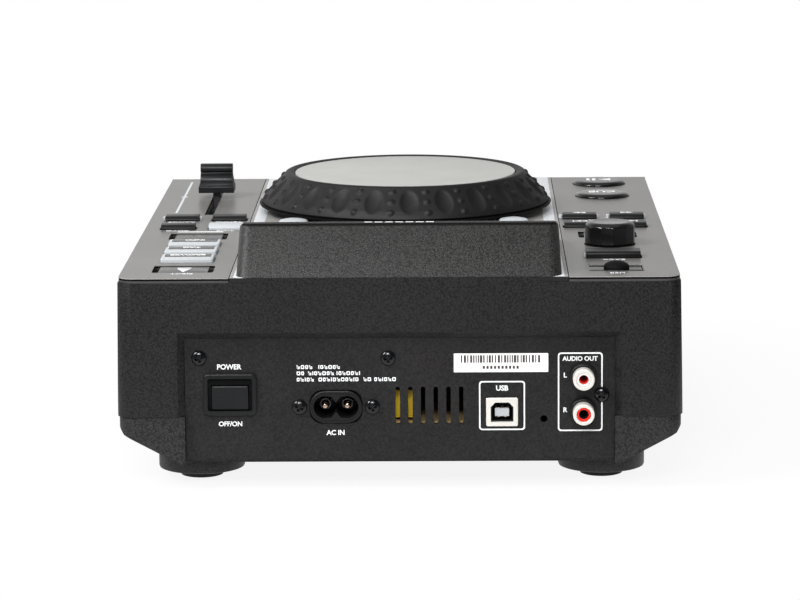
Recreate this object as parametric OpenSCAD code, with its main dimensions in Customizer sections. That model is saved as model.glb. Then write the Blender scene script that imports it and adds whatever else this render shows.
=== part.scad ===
// Tabletop DJ disc player: slot-loading drive, jog wheel, pitch fader and library keys.
// Frame: X to the user's right, Y towards the rear sockets, Z up.
// The origin lies on the table, under the middle of the player.

/* [Casing] */
// Width over the sides at the seam between the shells
body_w = 219.2; // [216:0.2:232]
// Depth from the nose to the rear wall
body_d = 296; // [294:1:316]
// Height of the deck above the table
deck_h = 83.5; // [82:0.5:96]
// Inward lean of each side wall between seam and deck
side_lean = 1.1; // [0:0.1:2]
// Thickness of the shell walls
wall = 2.5; // [2:0.1:3]
// Height of the seam between the two shells
seam_h = 28.8; // [27.5:0.1:30]
// Step of the lower shell inside the upper one at the seam
seam_step = 0.6; // [0.3:0.1:1]
// Depth of the sloping nose in front of the deck
nose_d = 22.6; // [20:0.2:28]
// Angle of the nose just in front of the deck
nose_slope = 20; // [12:1:30]
// Radius of the upright corners at the rear
rear_corner_r = 6; // [4:0.5:9]
// Radius of the upright corners at the nose
nose_corner_r = 8; // [5:0.5:12]
// Height of the rubber pads under the feet
pad_h = 3.3; // [2.5:0.1:5]
// Diameter of the rubber pads
pad_d = 17; // [14:0.5:22]
// Height of the moulded feet under the floor
boss_h = 6.8; // [5:0.1:8]
// Diameter of the moulded feet
boss_d = 34; // [28:0.5:38]
// Distance of each foot's centre from the side
foot_inset = 30.6; // [28:0.2:36]
// Distance of the rear feet's centres from the rear wall
foot_back = 30; // [25:1:40]
// Distance of the front feet's centres from the nose
foot_front = 42; // [36:1:50]
// Size of the flat floor's sloping side, measured across
chine_w = 24.2; // [20:0.2:27]

/* [Deck] */
// Thickness of the deck plates
plate_t = 2; // [1.6:0.1:2.4]
// Gap at each seam between the deck plates
plate_gap = 0.3; // [0.2:0.05:0.5]
// Width of each side plate of the deck, with its seam
side_w = 43.3; // [42:0.1:46]
// Clearance between a key and its hole
key_gap = 0.3; // [0.2:0.05:0.4]
// Travel of the small keys
key_travel = 0.8; // [0.5:0.1:1]
// Distance from the deck plates down to the control boards
board_drop = 7.9; // [7.5:0.1:9]

/* [Display] */
// Distance of the display hood's sides from the seams of the deck
hood_margin = 3.2; // [2:0.1:6]
// Depth of the display hood
hood_d = 90; // [84:1:94]
// Height of the hood's rear edge above the deck
hood_h = 19; // [16:0.5:23]
// Forward lean of the hood's rear face
hood_lean = 14; // [8:0.5:18]
// Width of the hood's face on each side of the display window
lens_frame = 10; // [6:0.5:15]

/* [Jog wheel] */
// Distance of the jog wheel's rim from the seams of the deck
jog_margin = 2.2; // [1:0.1:6]
// Width of the rubber ring around the jog wheel's plate
jog_ring_w = 15.5; // [12:0.5:20]
// Height of the jog wheel's plate above the deck
jog_h = 16.9; // [15:0.1:20]
// Distance of the jog wheel's axis from the rear wall
jog_back = 178; // [176:1:184]
// Gap between the deck and the jog wheel's rim
jog_float = 3.1; // [2:0.1:4]
// Diameter of the fixed jog axle
axle_d = 8; // [6:0.5:9]

/* [Controls] */
// Diameter of the play and cue buttons
play_d = 23.4; // [20:0.2:25]
// Distance of the play button's centre from the front edge of the deck
play_front = 20.9; // [16:0.1:22]
// Spacing of the play and cue buttons
play_pitch = 38; // [34:0.5:40]
// Width of the small keys
key_w = 15; // [12:0.5:17]
// Depth of the small keys
key_d = 8; // [6:0.5:10]
// Spacing of the small keys across
key_pitch = 20; // [18.5:0.25:20.5]
// Spacing of the two rows of small keys
row_pitch = 23.7; // [20:0.1:25]
// Diameter of the round loop buttons
loop_d = 12.6; // [10:0.2:14]
// Height of the loop buttons above the deck
loop_h = 4.7; // [3:0.1:6]
// Diameter of the select knob at its skirt
select_d = 20.4; // [17:0.2:23]
// Height of the select knob above the deck
select_h = 8.8; // [8:0.1:12]
// Width of the lit list keys
list_w = 21; // [16:0.5:23]
// Spacing of the lit list keys
list_pitch = 18.8; // [16:0.1:19]
// Distance from the front edge of the deck to the pitch fader's slot
fader_front = 3.9; // [3.6:0.1:10]
// Distance from the pitch fader's slot to the middle of the keys behind it
fader_back = 14.2; // [12:0.1:20]
// Width of the pitch fader's knob
fader_w = 15.6; // [13:0.2:18]
// Height of the pitch fader's knob above the deck
fader_h = 15; // [12:0.5:18]

/* [Rear panel] */
// Height of the top edge of the rear panel above the table
panel_top = 59.5; // [58:0.5:61]
// Distance of the panel's ends from the sides of the player
panel_inset = 26.3; // [26:0.1:27]
// Depth of the panel behind the rear wall
panel_sink = 2.8; // [2:0.1:4]
// Thickness of the rear panel
panel_t = 2; // [1.5:0.1:2.5]
// How far the audio jacks stand out behind the rear wall
jack_out = 5; // [3:0.5:7]
// Outer diameter of the audio jacks
jack_d = 8.3; // [8.2:0.05:8.4]
// Spacing of the two audio jacks
jack_pitch = 13.7; // [13:0.1:14.5]
// Diameter of the screw heads
screw_head_d = 5.6; // [5:0.1:6]

/* [Disc drive] */
// Height of the middle of the disc slot
slot_h = 42; // [41:0.2:43]
// Width of the disc slot
slot_w = 130; // [124:1:134]
// Opening of the disc slot
slot_gap = 6; // [5.6:0.1:7]
// Width of the drive chassis
drive_w = 146; // [144:1:150]
// Diameter of the loading roller
roller_d = 8; // [6:0.2:9]
// Radial travel of the pickup sled
sled_travel = 34; // [28:1:36]

/* [Hidden] */
$fn = 64;

eps = 0.01;
cut = 1;
running = 0.05;

// Main planes
half_w = body_w / 2;
top_half_w = half_w - side_lean;
front_y = -(body_d + jack_out) / 2;
rear_y = front_y + body_d;
crease_y = front_y + nose_d;
insert_w = 2 * (top_half_w - side_w);
shell_top = deck_h - plate_t;
floor_z = pad_h + boss_h;
nose_r = nose_d / (1 - sin(nose_slope));
nose_y = front_y + nose_r;
nose_z = deck_h - nose_r * cos(nose_slope);

// Lower shell outline
skirt_z = seam_h - 4.3;
bend_z = skirt_z - 2.8;
bend_in = 1.8;
toe_in = 14;

// Rear panel planes and places of its fittings
panel_half = half_w - panel_inset;
panel_y = rear_y - panel_sink;
panel_back_y = panel_y - panel_t;
panel_low = floor_z + 1.4;
panel_fit = 0.1;
frame_slope = 2.5;
screw_r = 1.5;
screw_hole_r = 1.6;
switch_x = panel_half - 17.6;
switch_z = floor_z + 27.3;
switch_w = 20.9;
switch_tall = 16.6;
push_w = 14.2;
push_tall = 9.2;
push_drop = 1.3;
push_len = 12;
push_travel = 3;
inlet_x = 24.7;
inlet_z = floor_z + 22.2;
inlet_w = 20.4;
inlet_tall = 13.1;
inlet_screw_span = 28.3;
pin_span = 8.6;
vent_x = 0.8;
vent_pitch = 4.92;
vent_count = 6;
vent_w = 1.73;
vent_tall = 14.8;
vent_z = floor_z + 22.6;
usb_b_x = -39.6;
usb_b_w = 12.4;
usb_b_tall = 11.3;
lock_gap = 15.2;
lock_z = floor_z + 17.1;
jack_x = -(panel_half - 12.3);
jack_z = floor_z + 20.1;
lock_x = jack_x + lock_gap;
collar_d = 10.4;
collar_out = 2.5;
jack_root = 10;
jack_tail_d = jack_d - 0.9;
jack_core_d = 5.5;
jack_len = jack_root + panel_t + panel_sink + jack_out;
panel_screws_xz = [
    [panel_half - 5.7, panel_top - 7.7],
    [4.4, panel_top - 8],
    [-(panel_half - 5.1), panel_top - 22.7]
];
tab_d = 4;

// Boards
board_t = 1.6;
main_board_z = floor_z + 14.2;
power_board_z = floor_z + 15.3;
usb_b_z = main_board_z + usb_b_tall / 2;
main_board_x = [-(panel_half + 13), -33];
power_board_x = [-30, panel_half - 5];
control_z = shell_top - board_drop;
tact_h = 3.5;
tact_w = 6;
stem_r = 1.5;
stem_tip = 0.3;
tact_bore_r = stem_r + 0.2;

// Keys and buttons on the deck
flange_t = 1.8;
flange_lip = 0.6;
flange_top = shell_top - 0.2;
block_x = insert_w / 2 + 19.15;
row_a_y = rear_y - 149.3;
row_b_y = row_a_y + row_pitch;
key_h = 1.8;
well_w = 24;
well_d = 18;
recess_key_w = 19.5;
recess_key_d = 16;
recess_sink = 0.4;
menu_y = rear_y - 104.5;
eject_y = rear_y - 22.2;
list_y = rear_y - 81.4;
list_d = 12;
list_h = 1.5;
back_w = 22.2;
back_d = 10;
back_h = 2.1;
back_y = rear_y - 47.5;
select_y = rear_y - 79;
play_x = -(block_x + 2.2);
play_y = crease_y + play_front;
cue_y = play_y + play_pitch;
play_h = 2.5;
play_travel = 1;
loop_x = insert_w / 2 - 19.2;
loop_y = rear_y - 121.5;
usb_top_x = -block_x;
usb_top_y = rear_y - 20;
usb_well_w = 21.6;
usb_well_d = 15.3;
cover_w = 20.6;
cover_d = 9.6;
cover_t = 1.4;
cover_grip_d = 10;
cover_grip_h = 3.2;
cover_axis_y = usb_top_y - usb_well_d / 2 + 1.1;
cover_axis_z = shell_top + 0.9;
cover_pin_r = 0.6;
cover_pin_len = 1.2;
cover_grip_y = usb_top_y + 2.4;
post_r = 2;

// Fader
fader_x = block_x - 0.2;
lever_w = 3.3;
lever_d = 5;
fader_slot_w = lever_w + 0.6;
fader_slot_y = [crease_y + fader_front, row_a_y - fader_back];
fader_slot_d = fader_slot_y[1] - fader_slot_y[0];
fader_y = (fader_slot_y[0] + fader_slot_y[1]) / 2;
fader_travel = (fader_slot_d - lever_d - 1) / 2;
carriage_d = 6;
carriage_w = 8;
carriage_h = 5;
fader_box_w = 13;
fader_box_h = 11;
fader_room_d = 2 * fader_travel + carriage_d + 0.6;
fader_box_d = fader_room_d + 2.4;
fader_knob_d = 12;
knob_float = 2.6;

// Display
hood_w = insert_w - 2 * hood_margin;
lens_w = hood_w - 2 * lens_frame;
lens_low = 8;
lens_d = 50;
lens_t = 1.6;
lcd_t = 3.5;

// Jog wheel
jog_y = rear_y - jog_back;
jog_d = insert_w - 2 * jog_margin;
jog_plate_d = jog_d - 2 * jog_ring_w;
rim_z = deck_h + jog_float;
rim_t = 2.4;
plate_z = deck_h + jog_h;
axle_r = axle_d / 2;
hub_r = axle_r + 3.5;
hub_low = shell_top - 6;
hub_top = rim_z + 7.4;
code_r = 20;
flange_r = 30;
axle_flange_z = shell_top - 13;

// Windows in the top of the upper shell
ledge = 5;
rail = 5.3;
window_front = crease_y + 1.6;
window_in = insert_w / 2 + 0.9;
window_rear = rear_y - 8;
usb_platform_y = rear_y - 33;

// Drive
drive_z = floor_z + 14;
sheet = 1.2;
drive_front = front_y + 8;
disc_y = front_y + 72;
spindle_r = 1.5;
spindle_motor_r = 12;
spindle_motor_h = 8;
roller_y = front_y + 15;
roller_z = slot_h - slot_gap / 2 - roller_d / 2 - 0.5;
rod_r = 1.5;
rod_x = 18;
rod_z = drive_z + 7;
rod_bracket = 3;
sled_y = disc_y + 20;
sled_d = 24;
rod_front = sled_y - 4;
rod_rear = sled_y + sled_d + sled_travel + 5;
screw_x = 26;
lead_r = 1.5;
motor_r = rod_z - drive_z - sheet - 0.1;
motor_len = 14;
motor_y = rod_rear + rod_bracket + 0.2;
drive_rear = motor_y + motor_len + 1 + sheet;
board_gap = 6.6;
main_board_y = [drive_rear + board_gap, rear_y - 6];
power_board_y = [drive_rear + board_gap + 30, panel_back_y - 2.7];
power_core_w = 13.9;
power_core_d = 20.5;
core_x = vent_x + 2.7;
core_y = power_board_y[1] - 15.3;

// Screws that hold the shells together
bottom_screw_x = half_w - 8;
bottom_screw_ys = [front_y + 21, front_y + 146, rear_y - 20];
boss_split = seam_h - 2.8;
screw_seat = boss_split - 3.6;
thread_len = 12;
post_outer_r = 4.4;

// ---- shared shapes -------------------------------------------------------------------------

module rounded(w, d, r) {
    square([w - 2 * r, d], center = true);
    square([w, d - 2 * r], center = true);
    for (x = [-1, 1], y = [-1, 1])
        translate([x * (w / 2 - r), y * (d / 2 - r)]) circle(r);
}

module block(w, d, h) {
    translate([-w / 2, -d / 2, 0]) cube([w, d, h]);
}

module span(x, y, z) {
    translate([x[0], y[0], z[0]]) cube([x[1] - x[0], y[1] - y[0], z[1] - z[0]]);
}

// Children are drawn as seen from behind the player, and stand out from the plane y
module on_rear(x, y, z) {
    translate([x, y, z]) rotate([90, 0, 180]) children();
}

// Children are an outline in Y and Z, run along X
module along_x(length) {
    rotate([90, 0, 90]) translate([0, 0, -length / 2]) linear_extrude(length) children();
}

// Children are an outline in X and Z, run along Y
module along_y(y0, y1) {
    translate([0, y1, 0]) rotate([90, 0, 0]) linear_extrude(y1 - y0) children();
}

// Plan outline of the casing, set in by t
module plan(t) {
    side = half_w - t;
    r_rear = max(rear_corner_r - t, 1);
    r_nose = max(nose_corner_r - t, 1);
    difference() {
        translate([-side, front_y + t]) square([2 * side, body_d - 2 * t]);
        for (s = [-1, 1]) {
            corner_cut(s * side, rear_y - t, s, 1, r_rear);
            corner_cut(s * side, front_y + t, s, -1, r_nose);
        }
    }
}

// Takes the sharp corner at x, y away to a round of radius r
module corner_cut(x, y, sx, sy, r) {
    difference() {
        translate([x - (sx > 0 ? r : 1), y - (sy > 0 ? r : 1)]) square(r + 1);
        translate([x - sx * r, y - sy * r]) circle(r);
    }
}

module pan_screw(head_r, head_h, length) {
    translate([0, 0, -length]) cylinder(r = screw_r, h = length + eps);
    intersection() {
        cylinder(r = head_r, h = head_h);
        translate([0, 0, head_h - 3.2 * head_r]) sphere(3.2 * head_r, $fn = 96);
    }
}

// ---- casing --------------------------------------------------------------------------------

// Outside of the upper shell, set in by t; the nose rises flush with the deck plates
module upper_block(t) {
    low = seam_h - t;
    intersection() {
        along_y(front_y, rear_y)
            polygon([[-(half_w - t), low], [half_w - t, low],
                     [top_half_w - t, deck_h], [-(top_half_w - t), deck_h]]);
        along_x(body_w) union() {
            intersection() {
                translate([nose_y, nose_z]) circle(nose_r - t, $fn = 128);
                translate([front_y, low]) square([nose_d - t, deck_h - low]);
            }
            translate([crease_y - t - eps, low]) square([rear_y - crease_y + eps, shell_top - t - low]);
            translate([front_y + t, low]) square([nose_r, nose_z - low]);
        }
        translate([0, 0, low]) linear_extrude(deck_h) plan(t);
    }
}

module lower_block(t) {
    a = half_w - seam_step - t;
    chine = half_w - chine_w - t / 4;
    low = floor_z + t;
    bend = bend_z + t * 0.6;
    top = t > 0 ? seam_h + cut : seam_h;
    intersection() {
        along_y(front_y, rear_y)
            polygon([[-a, top], [-a, skirt_z], [-(a - bend_in), bend], [-chine, low],
                     [chine, low], [a - bend_in, bend], [a, skirt_z], [a, top]]);
        along_x(body_w)
            polygon([[rear_y - t, low], [rear_y - t, top], [front_y + seam_step + t, top],
                     [front_y + seam_step + t, skirt_z], [front_y + toe_in + t, low]]);
        linear_extrude(top) plan(seam_step + t);
    }
}

// The opening that the rear panel stands in
module panel_opening(top) {
    span([-panel_half, panel_half], [panel_back_y, rear_y + cut], [floor_z - cut, top]);
}

// The sloping edge around that opening
module panel_frame_slope() {
    w = panel_half + frame_slope;
    hull() {
        span([-w, w], [rear_y, rear_y + 1], [floor_z - cut, panel_top + frame_slope]);
        span([-panel_half, panel_half], [rear_y - frame_slope, rear_y - frame_slope + eps],
             [floor_z - cut, panel_top]);
    }
}

module shell_posts() {
    for (s = [-1, 1], y = bottom_screw_ys)
        difference() {
            union() {
                translate([s * bottom_screw_x, y, boss_split]) cylinder(r = post_outer_r, h = 32);
                translate([s > 0 ? bottom_screw_x : -half_w + wall + 0.2, y - 2, seam_h])
                    cube([half_w - wall - 0.2 - bottom_screw_x, 4, 28]);
            }
            translate([s * bottom_screw_x, y, boss_split - cut])
                cylinder(r = screw_r + running, h = thread_len + 2 + cut);
        }
}

// Tabs behind the rear panel, which its screws bite into
module panel_tabs() {
    back = panel_back_y - tab_d;
    difference() {
        union() {
            span([panel_half - 10, half_w - wall], [back, panel_back_y],
                 [panel_screws_xz[0][1] - 4.5, panel_screws_xz[0][1] + 4.5]);
            span([panel_screws_xz[1][0] - 4.5, panel_screws_xz[1][0] + 4.5], [back, panel_back_y],
                 [panel_screws_xz[1][1] - 4.5, panel_top + 5]);
            span([panel_screws_xz[1][0] - 4.5, panel_screws_xz[1][0] + 4.5],
                 [back, rear_y - wall + eps], [panel_top + 3, panel_top + 6]);
            span([-(half_w - wall), -(panel_half - 7.2)], [back, panel_back_y],
                 [panel_screws_xz[2][1] - 4.5, panel_screws_xz[2][1] + 4.5]);
            for (s = [-1, 1])
                span([s > 0 ? panel_half + 1 : -(half_w - wall), s > 0 ? half_w - wall : -(panel_half + 1)],
                     [back, rear_y - wall + eps], [seam_h, panel_top]);
        }
        for (p = panel_screws_xz)
            on_rear(p[0], back - cut, p[1]) cylinder(r = screw_r + running, h = tab_d + 2 * cut);
    }
}

module upper_shell() {
    color("#26262a") difference() {
        union() {
            difference() {
                upper_block(0);
                upper_block(wall);
                // Windows under the deck plates and the insert
                span([window_in, top_half_w - ledge], [window_front, window_rear],
                     [shell_top - wall - cut, shell_top + cut]);
                span([-(top_half_w - ledge), -window_in], [window_front, usb_platform_y],
                     [shell_top - wall - cut, shell_top + cut]);
                span([-(insert_w / 2 - rail), insert_w / 2 - rail], [crease_y + 8, window_rear],
                     [shell_top - wall - cut, shell_top + cut]);
                panel_opening(panel_top);
                panel_frame_slope();
                // Disc slot
                span([-slot_w / 2, slot_w / 2], [front_y - cut, front_y + wall + cut],
                     [slot_h - slot_gap / 2, slot_h + slot_gap / 2]);
                // Mouth of the top USB port
                translate([usb_top_x, cover_axis_y + cover_d / 2, shell_top - wall - cut])
                    block(13.4, 6, wall + 2 * cut);
            }
            shell_posts();
            panel_tabs();
        }
        translate([0, 0, -deck_h + boss_split]) linear_extrude(deck_h) square(2 * body_d, center = true);
    }
}

module lower_shell() {
    color("#1f1f22") difference() {
        union() {
            difference() {
                lower_block(0);
                lower_block(wall);
                panel_opening(seam_h + cut);
            }
            // Posts for the boards and the drive, kept inside the outline
            intersection() {
                lower_block(0.1);
                union() {
                    for (x = [power_board_x[0] + 5, power_board_x[1] - 5],
                         y = [power_board_y[0] + 5, power_board_y[1] - 6])
                        translate([x, y, floor_z]) cylinder(r = 3, h = power_board_z - board_t - floor_z);
                    for (x = [main_board_x[0] + 8, main_board_x[1] - 5],
                         y = [main_board_y[0] + 5, main_board_y[1] - 8])
                        translate([x, y, floor_z]) cylinder(r = 3, h = main_board_z - board_t - floor_z);
                    for (s = [-1, 1], y = [drive_front + 8, drive_rear - 8])
                        translate([s * (drive_w / 2 - 7), y, floor_z]) cylinder(r = 4, h = drive_z - floor_z);
                    for (s = [-1, 1], y = bottom_screw_ys)
                        translate([s * bottom_screw_x, y, floor_z])
                            cylinder(r = post_outer_r, h = boss_split - floor_z);
                }
            }
        }
        for (s = [-1, 1], y = bottom_screw_ys)
            translate([s * bottom_screw_x, y, 0]) {
                cylinder(r = screw_head_d / 2 + 0.3, h = screw_seat);
                cylinder(r = screw_r + 0.2, h = deck_h / 2);
            }
    }
}

module deck_half(s) {
    side = insert_w / 2 + plate_gap;
    edge = top_half_w - 0.2;
    difference() {
        translate([0, 0, shell_top]) linear_extrude(plate_t) difference() {
            translate([s > 0 ? side : -edge, crease_y]) square([edge - side, rear_y - 0.2 - crease_y]);
            corner_cut(s * edge, rear_y - 0.2, s, 1, rear_corner_r - 0.2);
        }
        for (x = [-1, 1], y = [row_a_y, row_b_y]) key_hole(s * block_x + x * key_pitch / 2, y, key_w, key_d);
        key_hole(s * block_x, menu_y, well_w - 2 * key_gap, well_d - 2 * key_gap);
    }
    for (x = [insert_w / 2 + 3.5, top_half_w - 8.5], y = s > 0 ? [rear_y - 115, rear_y - 31] :
         [play_y + play_pitch / 2, rear_y - 180, rear_y - 60])
        translate([s * x, y, control_z]) cylinder(r = post_r, h = board_drop + eps);
}

module key_hole(x, y, w, d) {
    translate([x, y, shell_top - cut])
        linear_extrude(plate_t + 2 * cut) rounded(w + 2 * key_gap, d + 2 * key_gap, 1.5);
}

module round_hole(x, y, r) {
    translate([x, y, shell_top - cut]) cylinder(r = r, h = plate_t + 2 * cut);
}

module left_deck_plate() {
    color("#35363a") difference() {
        deck_half(-1);
        key_hole(-block_x, back_y, back_w, back_d);
        key_hole(usb_top_x, usb_top_y, usb_well_w - 2 * key_gap, usb_well_d - 2 * key_gap);
        round_hole(-block_x, select_y, 3.8);
        round_hole(play_x, play_y, play_d / 2 + key_gap);
        round_hole(play_x, cue_y, play_d / 2 + key_gap);
        translate([usb_top_x, cover_axis_y, cover_axis_z]) rotate([0, 90, 0])
            cylinder(r = cover_pin_r + running, h = usb_well_w + 2 * cover_pin_len + 0.4, center = true);
    }
}

module right_deck_plate() {
    color("#35363a") difference() {
        deck_half(1);
        key_hole(block_x, eject_y, well_w - 2 * key_gap, well_d - 2 * key_gap);
        for (i = [0:2]) key_hole(block_x, list_y + i * list_pitch, list_w, list_d);
        span([fader_x - fader_slot_w / 2, fader_x + fader_slot_w / 2],
             [fader_y - fader_slot_d / 2, fader_y + fader_slot_d / 2],
             [shell_top - cut, deck_h + cut]);
    }
}

module center_insert() {
    color("#35363a") {
        difference() {
            span([-insert_w / 2, insert_w / 2], [crease_y, rear_y - 0.2], [shell_top, deck_h]);
            // Way for the display cable, jog hub and loop buttons
            span([-hood_w / 2 + 12, hood_w / 2 - 12], [rear_y - hood_d + 10, rear_y - 12],
                 [shell_top - cut, deck_h + cut]);
            round_hole(0, jog_y, hub_r + 1.5);
            for (s = [-1, 1]) round_hole(s * loop_x, loop_y, loop_d / 2 + key_gap);
        }
        for (s = [-1, 1])
            translate([s * (loop_x - 11), loop_y, control_z]) cylinder(r = post_r, h = board_drop + eps);
    }
}

// ---- display -------------------------------------------------------------------------------

// Outline of the hood in Y and Z, set in by t
function hood_outline(t) = let (
        y0 = rear_y - 0.2 - t, low = t > 0 ? deck_h - cut : deck_h, top = deck_h + hood_h - t,
        front = rear_y - hood_d + t, brow = rear_y - hood_lean - 10, brow_z = top - 0.9
    ) [[y0 + (t > 0 ? -0.3 * t : 0), low], [rear_y - hood_lean - t * 0.7, top], [brow, brow_z],
       [front + 2, deck_h + 5 - t], [front, deck_h + 3.2 - t], [front, low]];

hood_slope = atan((hood_h - 5.9) / (hood_d - hood_lean - 12));

// Children lie on the display face: x across, y up the slope, z out of the face
module on_display(up) {
    translate([0, rear_y - hood_d + 2, deck_h + 5])
        rotate([hood_slope, 0, 0]) translate([0, up, 0]) children();
}

module display_hood() {
    color("#2b2b2e") difference() {
        intersection() {
            along_x(hood_w) polygon(hood_outline(0));
            translate([0, rear_y - 0.2 - hood_d / 2, deck_h])
                linear_extrude(hood_h) rounded(hood_w, hood_d, 5);
        }
        intersection() {
            along_x(hood_w - 2 * wall) polygon(hood_outline(2.4));
            translate([0, 0, -cut]) linear_extrude(deck_h + hood_h)
                translate([0, rear_y - hood_d / 2]) rounded(hood_w - 2 * wall, hood_d - 2 * wall, 3);
        }
        // Rebate for the window and the view through it
        on_display(lens_low) translate([0, lens_d / 2, -lens_t]) block(lens_w, lens_d, lens_t + cut);
        on_display(lens_low) translate([0, lens_d / 2, -6]) block(lens_w - 4, lens_d - 4, 7);
    }
}

module display_lens() {
    color("#0c0d10") on_display(lens_low)
        translate([0, lens_d / 2, -lens_t]) block(lens_w - 0.2, lens_d - 0.2, lens_t);
}

module lcd_panel() {
    color("#30363c") on_display(lens_low)
        translate([0, lens_d / 2, -lens_t - lcd_t]) block(lens_w - 4.4, lens_d - 4.4, lcd_t);
}

// ---- rear panel and sockets ----------------------------------------------------------------

module inlet_outline(grow) {
    for (s = [-1, 1]) translate([s * pin_span / 2, 0]) circle(4.4 + grow);
    square([pin_span, 5.2 + 2 * grow], center = true);
}

module rear_panel() {
    color("#2a2a2d") difference() {
        span([-(panel_half - panel_fit), panel_half - panel_fit], [panel_back_y, panel_y],
             [panel_low, panel_top - panel_fit]);
        on_rear(0, panel_back_y - cut, 0) linear_extrude(panel_t + 2 * cut) {
            translate([-switch_x, switch_z]) square([switch_w - 2.4, switch_tall - 2.4], center = true);
            translate([-inlet_x, inlet_z]) rounded(inlet_w + 0.2, inlet_tall + 0.2, 5);
            for (i = [0:vent_count - 1])
                translate([-vent_x + i * vent_pitch, vent_z]) rounded(vent_w, vent_tall, vent_w / 2 - eps);
            translate([-usb_b_x, usb_b_z]) square([usb_b_w + 0.3, usb_b_tall + 0.3], center = true);
            translate([-lock_x, lock_z]) circle(1.4);
            for (i = [0, 1])
                translate([-jack_x, jack_z + i * jack_pitch]) circle(d = collar_d + 0.2);
            for (p = panel_screws_xz) translate([-p[0], p[1]]) circle(screw_hole_r);
            for (s = [-1, 1])
                translate([-inlet_x + s * inlet_screw_span / 2, inlet_z]) circle(screw_hole_r);
        }
    }
}

module panel_screws() {
    color("#1a1a1c") {
        for (p = panel_screws_xz)
            on_rear(p[0], panel_y, p[1]) pan_screw(screw_head_d / 2, 1.9, panel_t + tab_d - 0.5);
        for (s = [-1, 1])
            on_rear(inlet_x + s * inlet_screw_span / 2, panel_y, inlet_z)
                pan_screw(screw_head_d / 2, 1.9, panel_t + tab_d - 0.5);
    }
}

module bottom_screws() {
    color("#2a2a2d") for (s = [-1, 1], y = bottom_screw_ys)
        translate([s * bottom_screw_x, y, screw_seat]) rotate([180, 0, 0])
            pan_screw(screw_head_d / 2, 1.8, boss_split - screw_seat + thread_len);
}

module at_feet() {
    for (s = [-1, 1], y = [front_y + foot_front, rear_y - foot_back])
        translate([s * (half_w - foot_inset), y, 0]) children();
}

module feet() {
    color("#1f1f22") difference() {
        at_feet() translate([0, 0, pad_h]) cylinder(d = boss_d, h = boss_h + wall);
        lower_block(0);
        panel_opening(seam_h);
    }
}

module rubber_pads() {
    color("#141414") at_feet() cylinder(d = pad_d, h = pad_h);
}

module ac_inlet() {
    body_len = 15;
    pin_tip = 1.2;
    color("#151517") difference() {
        union() {
            on_rear(inlet_x, panel_back_y - body_len, inlet_z)
                linear_extrude(body_len + panel_t + 0.9) rounded(inlet_w, inlet_tall - 0.3, 5);
            on_rear(inlet_x, panel_back_y - 3, inlet_z)
                linear_extrude(3) rounded(inlet_screw_span + 7, inlet_tall - 0.3, 3);
        }
        on_rear(inlet_x, panel_back_y - body_len + 2, inlet_z) linear_extrude(body_len + 4) inlet_outline(0);
        for (s = [-1, 1])
            on_rear(inlet_x + s * inlet_screw_span / 2, panel_back_y - 4, inlet_z)
                cylinder(r = screw_r + running, h = 5);
    }
    color("#c9b27a") for (s = [-1, 1])
        on_rear(inlet_x + s * pin_span / 2, panel_back_y - body_len + 2, inlet_z)
            cylinder(d = 2.4, h = body_len + panel_t - 2 - pin_tip);
}

module switch_housing() {
    body_len = push_len + push_travel + 3;
    color("#1b1b1d") difference() {
        union() {
            on_rear(switch_x, panel_y, switch_z) linear_extrude(1.6) rounded(switch_w, switch_tall, 2.4);
            on_rear(switch_x, panel_back_y - body_len, switch_z)
                linear_extrude(body_len + panel_t + eps)
                    square([switch_w - 2.6, switch_tall - 2.6], center = true);
        }
        on_rear(switch_x, panel_y + 0.2, switch_z)
            linear_extrude(3) rounded(switch_w - 3.6, switch_tall - 4, 1.2);
        on_rear(switch_x, panel_back_y - body_len + 1.5, switch_z - push_drop)
            linear_extrude(body_len + 6) square([push_w + 0.4, push_tall + 0.4], center = true);
    }
}

module power_button() {
    color("#202023") on_rear(switch_x, panel_back_y - push_len, switch_z - push_drop)
        linear_extrude(push_len + panel_t + 1) rounded(push_w, push_tall, 0.6);
}

module usb_b_socket() {
    depth = 16;
    color("#b9bcc0") difference() {
        on_rear(usb_b_x, panel_back_y - depth, usb_b_z)
            linear_extrude(depth + panel_t + 0.4) square([usb_b_w, usb_b_tall], center = true);
        on_rear(usb_b_x, panel_back_y - depth + 2, usb_b_z) linear_extrude(depth + 4)
            polygon([[-4.2, -3.6], [4.2, -3.6], [4.2, 1.9], [2.5, 3.6], [-2.5, 3.6], [-4.2, 1.9]]);
    }
    color("#ece9e2") on_rear(usb_b_x, panel_back_y - depth + 2, usb_b_z)
        translate([0, -0.4, 0]) block(5.6, 3.2, depth - 2);
}

module rca_block() {
    color("#18181a") {
        difference() {
            union() {
                span([jack_x - 4.6, jack_x + 5.5], [panel_back_y - 14, panel_back_y],
                     [main_board_z, jack_z + jack_pitch + 6]);
                for (i = [0, 1])
                    on_rear(jack_x, panel_back_y - eps, jack_z + i * jack_pitch)
                        cylinder(d = collar_d, h = eps + panel_t + collar_out);
            }
            for (i = [0, 1])
                on_rear(jack_x, panel_back_y - jack_root, jack_z + i * jack_pitch)
                    cylinder(d = jack_tail_d + 0.1, h = jack_root + panel_t + collar_out + cut);
        }
        // Insulators inside the sleeves
        for (i = [0, 1])
            on_rear(jack_x, panel_back_y - jack_root, jack_z + i * jack_pitch) difference() {
                cylinder(d = jack_core_d, h = jack_len - 1);
                translate([0, 0, 4]) cylinder(d = 3.2, h = 30);
            }
    }
}

module rca_sleeves() {
    color("#cfcfcf") for (i = [0, 1])
        on_rear(jack_x, panel_back_y - jack_root, jack_z + i * jack_pitch) difference() {
            union() {
                cylinder(d = jack_tail_d, h = jack_len);
                translate([0, 0, jack_root + panel_t + collar_out])
                    cylinder(d = jack_d, h = panel_sink + jack_out - collar_out);
            }
            translate([0, 0, -cut]) cylinder(d = jack_core_d + 0.1, h = jack_len + 2 * cut);
        }
}

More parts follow.
